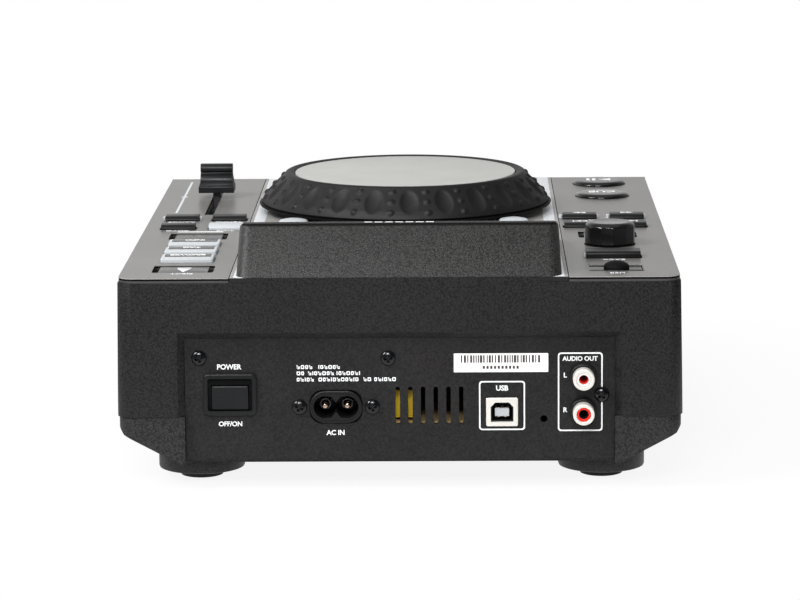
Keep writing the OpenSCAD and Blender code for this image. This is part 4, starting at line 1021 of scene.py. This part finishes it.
def make_round_buttons():
    """Two gloss buttons with a steep shoulder, and two small lit ones."""
    for name in ("play_button", "cue_button"):
        top, r = HIGH[name].z - 0.6, span(name).x / 2 - KEY_LIP
        profile = [(0, CAP_BASE), (r, CAP_BASE)]
        profile += shoulder(r, top - 1.6, 3.4, 1.5, range(0, 91, 9))
        profile += [(r * 0.4, top - 0.02), (0, top)]
        button_piece(name, profile, GLOSS, "gloss_black")
    for name in ("loop_in_button", "loop_out_button"):
        top, r = HIGH[name].z, span(name).x / 2 - KEY_LIP
        profile = [(0, CAP_BASE), (r, CAP_BASE)]
        profile += bend((r - 1.6, top - 2.1), 1.6, 0, 62, 7)
        profile += [(r * 0.45, top - 0.14), (0, top)]
        button_piece(name, profile, WHITE_KEY, "key_lit")


# ---- USB port under its flap ---------------------------------------------------------------


def make_usb_cover():
    """Flap with its hinge barrel and pins, and a round finger tab."""
    low, high, centre = limits("usb_cover")
    axis_z, axis_y = DECK - 1.1, low.y + 0.75
    width, depth, thick = 20.6, 9.6, 1.4
    plate_low = DECK - 1.85
    flap = between((centre.x - width / 2, centre.x + width / 2), (axis_y, axis_y + depth),
                   (plate_low, plate_low + thick), corner=1.2, edge=0.25)
    rods = []
    for r, half, steps in ((0.75, width / 2 - 0.2, 24), (0.6, 12, 20)):
        rod = turned([(0, -half), (r, -half), (r, half), (0, half)], steps=steps)
        rods.append(moved(moved(rod, turn=(90, "Y")), (centre.x, axis_y, axis_z)))
    tab_r, tab_top, dome_h = 5.0, high.z, 2.3
    dome = [(0, plate_low + 0.1), (tab_r, plate_low + 0.1), (tab_r, tab_top - dome_h)]
    dome += shoulder(tab_r, tab_top - dome_h, tab_r, dome_h, range(12, 73, 12))
    dome += [(tab_r * 0.15, tab_top - 0.01), (0, tab_top)]
    tab = turned(dome, (centre.x, high.y - tab_r, 0), 48)
    piece("usb_flap_cover", together(*rods, tab), DEEP, "usb_flap", "socket_black", "usb_cover")
    piece("usb_flap_plate", flap, GLOSS, "usb_flap", "gloss_black")


def make_usb_bezel():
    """Gloss liner that stands a little proud of the flap's well on three sides, open at the hinge."""
    centre = (middle("usb_cover").x, DECK_REAR - 19.8)
    width, depth, line = 21.6, 15.3, 0.55
    ring = slab((width, depth, 1.6), (*centre, DECK - 0.65), corner=1.5, edge=0.2)
    past_hinge = 1.5
    hole_place = (centre[0], centre[1] - (line + past_hinge) / 2, DECK)
    hole = slab((width - 2 * line, depth - line + past_hinge, 5), hole_place, corner=1.1)
    piece("usb_bezel", carved(ring, hole), GLOSS, slot="gloss_black")


def make_usb_port():
    """Upright socket under the flap: plated shell, its flange and a dark tongue."""
    low, high, centre = limits("top_usb_port")
    shell = around(centre.x, centre.y, 6.6, 2.9, (low.z, high.z), corner=0.5)
    mouth = around(centre.x, centre.y, 6.2, 2.5, (low.z + 1.5, high.z + 1), corner=0.3)
    flange = between((low.x, high.x), (low.y, high.y), (high.z - 3.7, high.z - 2.5), corner=0.6)
    can = carved(together(shell, flange), mouth)
    piece("usb_port_shell", can, NICKEL, slot="nickel", instead_of="top_usb_port")
    tongue = between((centre.x - 5.8, centre.x + 5.8), (centre.y - 2.05, centre.y - 0.15),
                     (low.z + 1.5, high.z - 0.6), edge=0.3)
    piece("usb_port_tongue", tongue, SOCKET, slot="socket_black")


# ---- sockets on the rear panel -------------------------------------------------------------


# Distance between the two screws of the mains inlet
INLET_SCREWS = 28.3


def cross_screw(head_r, head_h, length, shank_r=1.5):
    """Pan head screw that stands up along Z from its seat at 0, with a cross recess."""
    profile = [(0, -length), (shank_r, -length), (shank_r, 0), (head_r, 0)]
    profile += [(head_r * math.cos(a), head_h * (0.22 + 0.78 * math.sin(a)))
                for a in [math.radians(10 * i) for i in range(9)]]
    body = turned(profile + [(0, head_h)], steps=32)
    arm, wide, deep = head_r * 1.45, head_r * 0.36, head_h * 0.85
    blades = []
    for angle in (0, 90):
        blade = between((-arm / 2, arm / 2), (-wide / 2, wide / 2), (head_h - deep, head_h + 1))
        for v in blade.verts:
            if v.co.z < head_h:
                v.co.x *= 0.5
        blades.append(moved(blade, turn=(angle, "Z")))
    return carved(body, *blades)


def make_panel_screws():
    """Five black screws: three hold the panel, two the mains inlet."""
    head_r, head_h, length = 2.95, 1.9, 5.5
    inlet = middle("ac_inlet")
    # X, Z and turn of each
    places = [(77.6, 51.8, 20), (4.4, 51.5, 8), (-78.2, 36.8, 35),
              (inlet.x - INLET_SCREWS / 2, inlet.z, 12), (inlet.x + INLET_SCREWS / 2, inlet.z, -24)]
    screws = []
    for x, z, turn in places:
        screw = moved(cross_screw(head_r, head_h, length), turn=(turn, "Z"))
        screws.append(on_rear(screw, x, PANEL_FACE, z))
    piece("panel_screw_set", together(*screws), SCREW, "casing", "screw_black", "panel_screws", sharp=45)


def make_bottom_screws():
    """Two rows of three screws that stand head down in the lower shell."""
    low, high = LOW["bottom_screws"], HIGH["bottom_screws"]
    head_r, head_h = 2.8, 1.8
    seat = low.z + head_h
    middle_row = 125
    rows = [low.y + head_r, low.y + head_r + middle_row, high.y - head_r]
    screws = []
    for x in (low.x + head_r, high.x - head_r):
        for i, y in enumerate(rows):
            screw = moved(cross_screw(head_r, head_h, high.z - seat), turn=(17 * i + x, "Z"))
            screws.append(moved(moved(screw, turn=(180, "X")), (x, y, seat)))
    piece("bottom_screw_set", together(*screws), SCREW, "casing", "screw_black", "bottom_screws", sharp=45)


def make_mains_inlet():
    """Two-pole inlet: a rounded housing with its figure-eight well and round pins."""
    low, high, centre = limits("ac_inlet")
    width, tall, face = 20.4, 12.8, high.y
    back, pin_gap, lobe = low.y, 8.6, 4.4
    body = slab((width, tall, face - back), (0, 0, (face - back) / 2), corner=6.2, corner_steps=10, edge=0.5)
    flange = slab((high.x - low.x, tall, 3), (0, 0, PANEL_FACE - 3.5 - back), corner=3.0)
    deep = face - back
    rim = carved(slab((width - 1.3, tall - 1.3, 1.0), (0, 0, deep + 0.25), corner=5.7, corner_steps=10),
                 slab((width - 2.9, tall - 2.9, 3.0), (0, 0, deep), corner=4.9, corner_steps=10))
    wells = [drum(lobe, 2, deep + 1, (s * pin_gap / 2, 0), edge=0, steps=40) for s in (-1, 1)]
    waist = [(-pin_gap / 2, -4.3), (-1.9, -4.2), (0, -1.9), (1.9, -4.2), (pin_gap / 2, -4.3)]
    wells.append(prism(waist + [(x, -y) for x, y in reversed(waist)], 2, deep + 1))
    screw_holes = [drum(1.55, -1, deep, (s * INLET_SCREWS / 2, 0), edge=0, steps=24) for s in (-1, 1)]
    housing = carved(together(carved(body, rim), flange), *wells)
    housing = carved(housing, *screw_holes)
    place = (centre.x, back, centre.z)
    rear_piece("mains_inlet_housing", housing, place, SOCKET, "socket_black", "ac_inlet")
    pins = [drum(1.1, 2, deep - 2.1, (s * pin_gap / 2, 0), edge=0.55, steps=28) for s in (-1, 1)]
    rear_piece("mains_inlet_pins", together(*pins), place, BRASS, "nickel")
    collars = [tube(2.2, 1.6, 2, 11.0, (s * pin_gap / 2, 0), edge=0.25, steps=28) for s in (-1, 1)]
    rear_piece("mains_inlet_collars", together(*collars), place, PIN_RING, "socket_black")


def make_square_usb():
    """Square USB socket: plated shell, chamfered mouth, white tongue with its contacts."""
    low, high, centre = limits("usb_b_socket")
    deep, width, tall = high.y - low.y, high.x - low.x, high.z - low.z
    body = slab((width, tall, deep), (0, 0, deep / 2), corner=0.7, edge=0.35)
    mouth = [(-4.4, -3.9), (4.4, -3.9), (4.4, 2.0), (2.7, 3.8), (-2.7, 3.8), (-4.4, 2.0)]
    shell = carved(body, prism(mouth, 2, deep + 1))
    place = (centre.x, low.y, centre.z)
    rear_piece("square_usb_shell", shell, place, TIN, "plated_steel", "usb_b_socket")
    lining = carved(prism([(x * 0.985, y * 0.985) for x, y in mouth], 2.05, deep - 1.2),
                    prism([(x * 0.88, y * 0.86) for x, y in mouth], 2.5, deep))
    rear_piece("square_usb_lining", lining, place, SOCKET, "socket_black")
    tongue = slab((5.6, 3.2, deep - 4.2), (0, -0.4, (deep - 4.2) / 2 + 2.5), edge=0.35, corner=0.3)
    rear_piece("square_usb_tongue", tongue, place, WHITE_KEY, "stripe_white")
    contacts = [slab((0.9, 0.35, deep - 6), (x, y, deep / 2 + 1), edge=0.1)
                for x in (-1.3, 1.3) for y in (-2.1, 1.3)]
    rear_piece("square_usb_contacts", together(*contacts), place, BRASS, "nickel")


def make_audio_jacks():
    """Two stacked jacks: black collars on one block, plated sleeves, white and red cores."""
    low, high = LOW["rca_block"], HIGH["rca_block"]
    sleeves_low, sleeves_high = LOW["rca_sleeves"], HIGH["rca_sleeves"]
    x = middle("rca_sleeves").x
    sleeve_r, core_r, collar_r, collar_bore = span("rca_sleeves").x / 2, 2.75, 5.2, 3.75
    root = sleeves_low.y
    reach = sleeves_high.y - root
    rows = [sleeves_low.z + sleeve_r, sleeves_high.z - sleeve_r]
    collar_front = PANEL_FACE + 2.5 - root
    block = between((x - 4.6, x + 5.5), (low.y, PANEL_FACE - 2), (low.z, high.z), edge=0.4)
    collars = []
    for z in rows:
        ring = tube(collar_r, collar_bore, 9.9, collar_front, edge=0.5, steps=56)
        step = tube(collar_r - 0.9, collar_bore, collar_front - 0.6, collar_front + 0.25, edge=0.2, steps=56)
        collars.append(on_rear(together(ring, step), x, root, z))
    piece("audio_jack_block", together(block, *collars), SOCKET, slot="socket_black", instead_of="rca_block")
    sleeves = []
    for z in rows:
        profile = [(core_r + 0.05, 0), (3.7, 0), (3.7, collar_front), (sleeve_r, collar_front)]
        profile += bend((sleeve_r - 0.35, reach - 0.35), 0.35, 0, 90)
        profile += bend((core_r + 0.3, reach - 0.25), 0.25, 90, 180)
        profile += [(core_r + 0.05, 0)]
        sleeves.append(on_rear(turned(profile, steps=56), x, root, z))
    piece("audio_jack_sleeves", together(*sleeves), TIN, slot="nickel", instead_of="rca_sleeves")
    for name, z, finish in (("white", rows[1], WHITE_CORE), ("red", rows[0], RED_CORE)):
        tip = reach - (0.25 if name == "white" else 0.8)
        profile = [(0, 0), (core_r, 0)] + bend((core_r - 0.2, tip - 0.2), 0.2, 0, 90)
        profile += bend((2.1, tip - 0.2), 0.2, 90, 180) + [(1.9, 4), (0, 4)]
        rear_piece("audio_jack_core_" + name, turned(profile, steps=40), (x, root, z), finish)
    for name, z, finish in (("upper", rows[1], RED_CORE), ("lower", rows[0], SOCKET)):
        lining = tube(1.87, 1.5, 4.1, reach - 2.0, edge=0.05, steps=28)
        rear_piece("audio_jack_lining_" + name, lining, (x, root, z), finish)


def rating_blocks(thin):
    """Three lines of small made-up blocks, in place of the rating."""
    dash_h, line_pitch, start, top = 1.25, 2.45, 39.8, 48.0
    widths = [1.25, 1.4, 1.1, 1.3, 0.4, 1.2]
    stroke, gap, word_gap, tall = 0.38, 0.34, 1.2, dash_h * 1.2
    blocks = []
    for row, dashes in enumerate(([7.2, 9.2], [3.2, 9.8, 9.6], [7.2, 16.2, 3.0, 8.2])):
        x, z, i = start, top - row * line_pitch, row
        for length in dashes:
            end = x - length
            while x - end > 0.9:
                wide = widths[i % len(widths)]
                block = (-(x - wide / 2), z, thin)
                if wide < 0.8:
                    blocks.append(slab((wide, tall, 0.06), block))
                elif i % 3:
                    blocks.append(frame_line(wide, tall, block, line=stroke, corner=0.35))
                else:
                    strokes = ((stroke / 2 - wide / 2, 0, stroke, tall),
                               (0, stroke / 2 - tall / 2, wide, stroke), (0, 0, wide, stroke))
                    for dx, dz, w, h in strokes:
                        blocks.append(slab((w, h, 0.06), (block[0] + dx, z + dz, thin)))
                x -= wide + gap
                i += 1
            x = end - word_gap
    return blocks


def make_panel_print():
    """Names of the sockets, two frames round them and three rating lines of made-up blocks."""
    thin = 0.03
    # Word, X and Z of its middle, and height of its letters
    words = [("POWER", 66.0, 48.1, 1.9), ("OFF/ON", 65.7, 25.6, 1.8), ("AC IN", 24.9, 22.0, 1.85),
             ("USB", -39.6, 39.3, 1.95), ("AUDIO OUT", -69.8, 50.8, 1.7),
             ("L", -64.0, 44.3, 1.8), ("R", -64.0, 30.6, 1.8)]
    prints = [lettering(text, tall, (-x, z, thin)) for text, x, z, tall in words]
    # Limits in X and Z of the frames round the USB socket and the audio jacks
    frames = [((-30.7, -48.5), (22.8, 42.2)), ((-61.2, -78.5), (22.3, 53.3))]
    for (right, left), (low, high) in frames:
        place = (-(right + left) / 2, (low + high) / 2, thin)
        prints.append(frame_line(right - left, high - low, place, line=0.55))
    prints += rating_blocks(thin)
    rear_piece("panel_print", together(*prints), (0, PANEL_FACE, 0), PRINT, "stripe_white")


def make_sticker():
    """Blank white label with a row of plain bars."""
    right, left, low, high = -21.0, -57.5, 45.7, 53.1
    centre = (-(right + left) / 2, (low + high) / 2, 0.05)
    paper = slab((right - left, high - low, 0.1), centre, corner=0.3)
    rear_piece("label_sticker", paper, (0, PANEL_FACE, 0), STICKER)
    bars, x = [], -right + 2.8
    widths = [0.45, 0.8, 0.4, 0.75, 0.5, 0.4, 0.45, 0.9, 0.55, 0.4, 0.8, 0.5]
    i = 0
    while x < -left - 3.0:
        wide = widths[i % len(widths)]
        bars.append(slab((wide, 2.9, 0.04), (x + wide / 2, 50.9, 0.11)))
        x += wide + widths[(i * 5 + 3) % len(widths)] * 0.9
        i += 1
    digits = [slab((0.85, 1.2, 0.04), (-right + 11.6 + 1.45 * k, 47.6, 0.11), corner=0.2) for k in range(10)]
    rear_piece("label_sticker_bars", together(*bars, *digits), (0, PANEL_FACE, 0), INK)


# ---- prints and trims on the deck ----------------------------------------------------------


INK_THICK = 0.07


def arrow(x, y, z, size, facing):
    """Flat triangle that points along X."""
    back = x - facing * size * 0.45
    outline = [(x + facing * size * 0.55, y), (back, y + size / 2), (back, y - size / 2)]
    return prism(outline, z, z + INK_THICK)


def make_stripes():
    """Light trim lines along both sides of the insert, and a line with a middle mark by the fader."""
    outer, inner = INSERT_HALF - 1.4, INSERT_HALF - 6.2
    strips = [between(sorted((s * inner, s * outer)), (DECK_FRONT + 0.6, DECK_REAR - 0.5),
                      (DECK - 0.05, DECK + 0.12), edge=0.08) for s in (-1, 1)]
    fader = middle("fader_body")
    line_x, reach = fader.x + 14.5, 47.0
    strips.append(around(line_x, fader.y, 0.5, reach, (DECK - 0.05, DECK + 0.05)))
    strips.append(around(line_x, fader.y, 1.4, 1.4, (DECK - 0.05, DECK + 0.06)))
    piece("insert_stripes", together(*strips), STRIPE, slot="stripe_white")


def make_deck_print():
    """Names beside the keys, dashes on the hood's brow and a line under the menu key."""
    level = DECK + 0.05
    marks = []
    # Word, the key it names, and its shift in X and Y from the middle of that key
    words = [("EJECT", "eject_key", 0, 11.6), ("BACK", "back_key", 0, 7.6), ("USB", "usb_cover", 0, 12.0),
             ("SELECT", "select_knob", 0, -13.0), ("MEMORY", "memory_key", 0, -11.4),
             ("PLAY", "play_button", 0, -14.4), ("CUE", "cue_button", 0, -14.4),
             ("TEMPO", "tempo_range_key", 0, 6.4), ("RANGE", "master_tempo_key", 0, 6.4),
             ("TIME", "time_mode_key", 0, 6.4), ("AUTO", "auto_cue_key", 0, 6.4),
             ("SEARCH", "search_back_key", 10, 6.4), ("TRACK", "track_back_key", 10, 6.4),
             ("IN", "loop_in_button", 0, 8.6), ("OUT", "loop_out_button", 0, 8.6)]
    for text, node, dx, dy in words:
        spot = (middle(node).x + dx, middle(node).y + dy, level)
        marks.append(lettering(text, 2.3, spot, thick=0.06, bold=0.02, spacing=1.08))
    brow = HIGH["display_hood"]
    marks += [between((x - 1.5, x + 1.5), (brow.y - 20.2, brow.y - 17.4), (brow.z - 0.7, brow.z - 0.42))
              for x in range(-12, 13, 4)]
    menu = middle("menu_key")
    line_y = (menu.y - 12.2, menu.y - 10.4)
    marks.append(between((menu.x - 9.5, menu.x + 9.5), line_y, (DECK - 0.02, DECK + 0.1)))
    piece("deck_print", together(*marks), PRINT, slot="stripe_white")


def make_key_symbols():
    """Transport signs on the keys that they work."""
    for name, facing, barred in (("search_back_key", -1, False), ("search_forward_key", 1, False),
                                 ("track_back_key", -1, True), ("track_forward_key", 1, True)):
        centre, z = middle(name), HIGH[name].z + KEY_CROWN - 0.02
        signs = [arrow(centre.x + dx * facing, centre.y - 1.9, z, 3.0, facing) for dx in (-1.3, 1.3)]
        if barred:
            x = centre.x + 3.3 * facing
            signs.append(between((x - 0.35, x + 0.35), (centre.y - 3.4, centre.y - 0.4), (z, z + INK_THICK)))
        piece(name + "_sign", together(*signs), PRINT, name + "_body", "stripe_white")
    thick, sunk = 0.12, 0.66
    centre, z = middle("play_button"), HIGH["play_button"].z - sunk
    half = 2.9
    tip = [(centre.x + 0.2, centre.y), (centre.x - 5.2, centre.y + half), (centre.x - 5.2, centre.y - half)]
    signs = [prism(tip, z, z + thick)]
    signs += [between((x, x + 1.5), (centre.y - half, centre.y + half), (z, z + thick))
              for x in (centre.x + 1.6, centre.x + 4.2)]
    piece("play_button_sign", together(*signs), PRINT, "play_button_body", "stripe_white")
    centre, z = middle("cue_button"), HIGH["cue_button"].z - sunk
    word = lettering("CUE", 4.4, (centre.x, centre.y, z + thick / 2), thick=thick)
    piece("cue_button_sign", word, PRINT, "cue_button_body", "stripe_white")
    centre, z = middle("eject_key"), HIGH["eject_key"].z - 0.02
    half = 2.7
    tip = [(centre.x, centre.y + 5.0), (centre.x - half, centre.y - 2.6), (centre.x + half, centre.y - 2.6)]
    line_y = (centre.y - 4.9, centre.y - 3.8)
    signs = [prism(tip, z, z + INK_THICK),
             between((centre.x - half, centre.x + half), line_y, (z, z + INK_THICK))]
    piece("eject_key_sign", together(*signs), PRINT, "eject_key_body", "stripe_white")


def make_lamp_dots():
    """Small white light guides beside the keys that they belong to."""
    dots = []
    # Key, the side that the dot is on, and half its width
    places = [("search_back_key", 1, 0.85), ("search_back_key", -1, 0.5),
              ("search_forward_key", 1, 0.85), ("search_forward_key", -1, 0.5),
              ("master_tempo_key", 1, 0.6), ("master_tempo_key", -1, 0.6), ("back_key", 1, 0.55)]
    lip = 0.4
    for name, side, wide in places:
        end = (HIGH[name].x if side > 0 else LOW[name].x) - lip * side
        dot = turned([(0, -1.0), (1, -1.0)] + bend((0.6, 1.1), 0.4, 0, 90, 3) + [(0, 1.5)], steps=20)
        bmesh.ops.scale(dot, vec=(wide, 0.8, 1), verts=dot.verts)
        dots.append(moved(dot, (end + side * (wide + 0.05), middle(name).y, DECK)))
    piece("lamp_dots", together(*dots), WHITE_KEY, slot="key_lit")


# ---- studio --------------------------------------------------------------------------------

FOCAL_PX, PICTURE_PX, SENSOR = 3574.4, 800, 36.0
CAMERA_PLACE = Vector((-24.2, 1499.1, 312.4)) * MM
CAMERA_YAW, CAMERA_PITCH, CAMERA_ROLL = (math.radians(a) for a in (1.005, 9.960, -0.450))


def place_camera():
    """Camera behind the player, pitched 10 degrees down and slightly rolled."""
    forward = Vector((math.sin(CAMERA_YAW) * math.cos(CAMERA_PITCH),
                      -math.cos(CAMERA_YAW) * math.cos(CAMERA_PITCH), -math.sin(CAMERA_PITCH)))
    right = Vector((-math.cos(CAMERA_YAW), -math.sin(CAMERA_YAW), 0))
    above = right.cross(forward)
    across = math.cos(CAMERA_ROLL) * right + math.sin(CAMERA_ROLL) * above
    upward = -math.sin(CAMERA_ROLL) * right + math.cos(CAMERA_ROLL) * above
    data = bpy.data.cameras.new("camera")
    data.sensor_width, data.lens = SENSOR, FOCAL_PX / PICTURE_PX * SENSOR
    data.clip_start, data.clip_end = 0.01, 50
    camera = linked("camera", data)
    turn = Matrix((across, upward, -forward)).transposed().to_4x4()
    camera.matrix_world = Matrix.Translation(CAMERA_PLACE) @ turn
    bpy.context.scene.camera = camera


def add_softbox(name, place, power, width, height, aim=(0, 0, 0.05)):
    """Rectangular lamp of that many watts, turned to its aim."""
    data = bpy.data.lights.new(name, "AREA")
    data.energy, data.shape, data.size, data.size_y = power, "RECTANGLE", width, height
    lamp = linked(name, data)
    lamp.location = place
    lamp.rotation_mode = "QUATERNION"
    lamp.rotation_quaternion = (Vector(place) - Vector(aim)).to_track_quat("Z", "Y")


def seen_directly(tree, rays):
    """Is 1 for what the camera sees, also through the window."""
    return sums(tree, "MAXIMUM", rays["Is Camera Ray"], rays["Is Transmission Ray"])


def light_studio():
    """White surround for the camera, a darker room for reflections, plain soft light on the object."""
    world = bpy.data.worlds.new("studio")
    bpy.context.scene.world = world
    world.use_nodes = True
    tree = world.node_tree
    back = tree.nodes["Background"]
    rays = add(tree, "LightPath").outputs
    seen = seen_directly(tree, rays)
    side = add(tree, "SeparateXYZ", {"Vector": add(tree, "TexCoord").outputs["Generated"]}).outputs
    behind = ranged(tree, side["Y"], -0.3, 0.5, 1.0, 0.12)
    lateral = ranged(tree, side["X"], -0.6, 0.1, 0.3, 1.0)
    upward = ranged(tree, side["Z"], 0.3, 0.75, 1.0, 0.2)
    room = sums(tree, "MULTIPLY", sums(tree, "MULTIPLY", behind, lateral), upward)
    mirrored = sums(tree, "MULTIPLY", rays["Is Glossy Ray"], room)
    soft = sums(tree, "MULTIPLY", sums(tree, "SUBTRACT", 1.0, rays["Is Glossy Ray"]), 0.62)
    back.inputs["Color"].default_value = (1, 1, 1, 1)
    tree.links.new(sums(tree, "MAXIMUM", seen, sums(tree, "ADD", mirrored, soft)), back.inputs["Strength"])
    add_softbox("left_softbox", (0.75, 0.5, 0.85), 9, 0.4, 0.4)
    add_softbox("rear_softbox", (0.15, 1.75, 1.25), 24, 0.8, 0.5, aim=(0, 0.14, 0.04))
    add_softbox("overhead_softbox", (0.0, -0.1, 1.8), 3, 1.6, 1.2)


def make_floor():
    """Pale floor that keeps the shadow near the player and fades to white further out."""
    bm = bmesh.new()
    radius, sunk = 6.0, 0.0002
    bmesh.ops.create_circle(bm, cap_ends=True, segments=96, radius=radius)
    floor = as_object("floor", bm)
    floor.location.z = -sunk
    material = bpy.data.materials.new("floor_paper")
    material.use_nodes = True
    tree = material.node_tree
    shader = tree.nodes["Principled BSDF"]
    shader.inputs["Base Color"].default_value = (0.86, 0.86, 0.86, 1)
    shader.inputs["Roughness"].default_value = 0.9
    glow = add(tree, "Emission", {"Color": (1, 1, 1, 1), "Strength": 1.0})
    place = add(tree, "TexCoord").outputs["Object"]
    away = add(tree, "VectorMath", {0: place}, operation="LENGTH").outputs["Value"]
    fade = ranged(tree, away, 0.12, 0.34, 0.88, 1.0)
    rays = add(tree, "LightPath").outputs
    seen = seen_directly(tree, rays)
    bounce = ranged(tree, away, 0.18, 0.6, 0.8, 0.18)
    tree.links.new(sums(tree, "MAXIMUM", seen, bounce), glow.inputs["Strength"])
    cover = sums(tree, "MAXIMUM", sums(tree, "MULTIPLY", fade, seen), rays["Is Glossy Ray"])
    mix = add(tree, "MixShader", {0: cover, 1: shader.outputs[0], 2: glow.outputs[0]})
    tree.links.new(mix.outputs[0], tree.nodes["Material Output"].inputs["Surface"])
    floor.data.materials.append(material)


for make in (make_slot_lips, make_hood, make_switch, make_jog_ring, make_jog_plate, make_jog_base,
             make_fader_knob, make_select_knob, make_small_keys, make_list_keys, make_recessed_keys,
             make_back_key, make_round_buttons, make_usb_cover, make_usb_bezel, make_usb_port,
             make_panel_screws, make_bottom_screws,
             make_mains_inlet, make_square_usb, make_audio_jacks, make_panel_print, make_sticker,
             make_stripes, make_deck_print, make_key_symbols, make_lamp_dots,
             place_camera, light_studio, make_floor):
    make()

scene = bpy.context.scene
scene.view_settings.view_transform = "Standard"
bpy.context.view_layer.update()
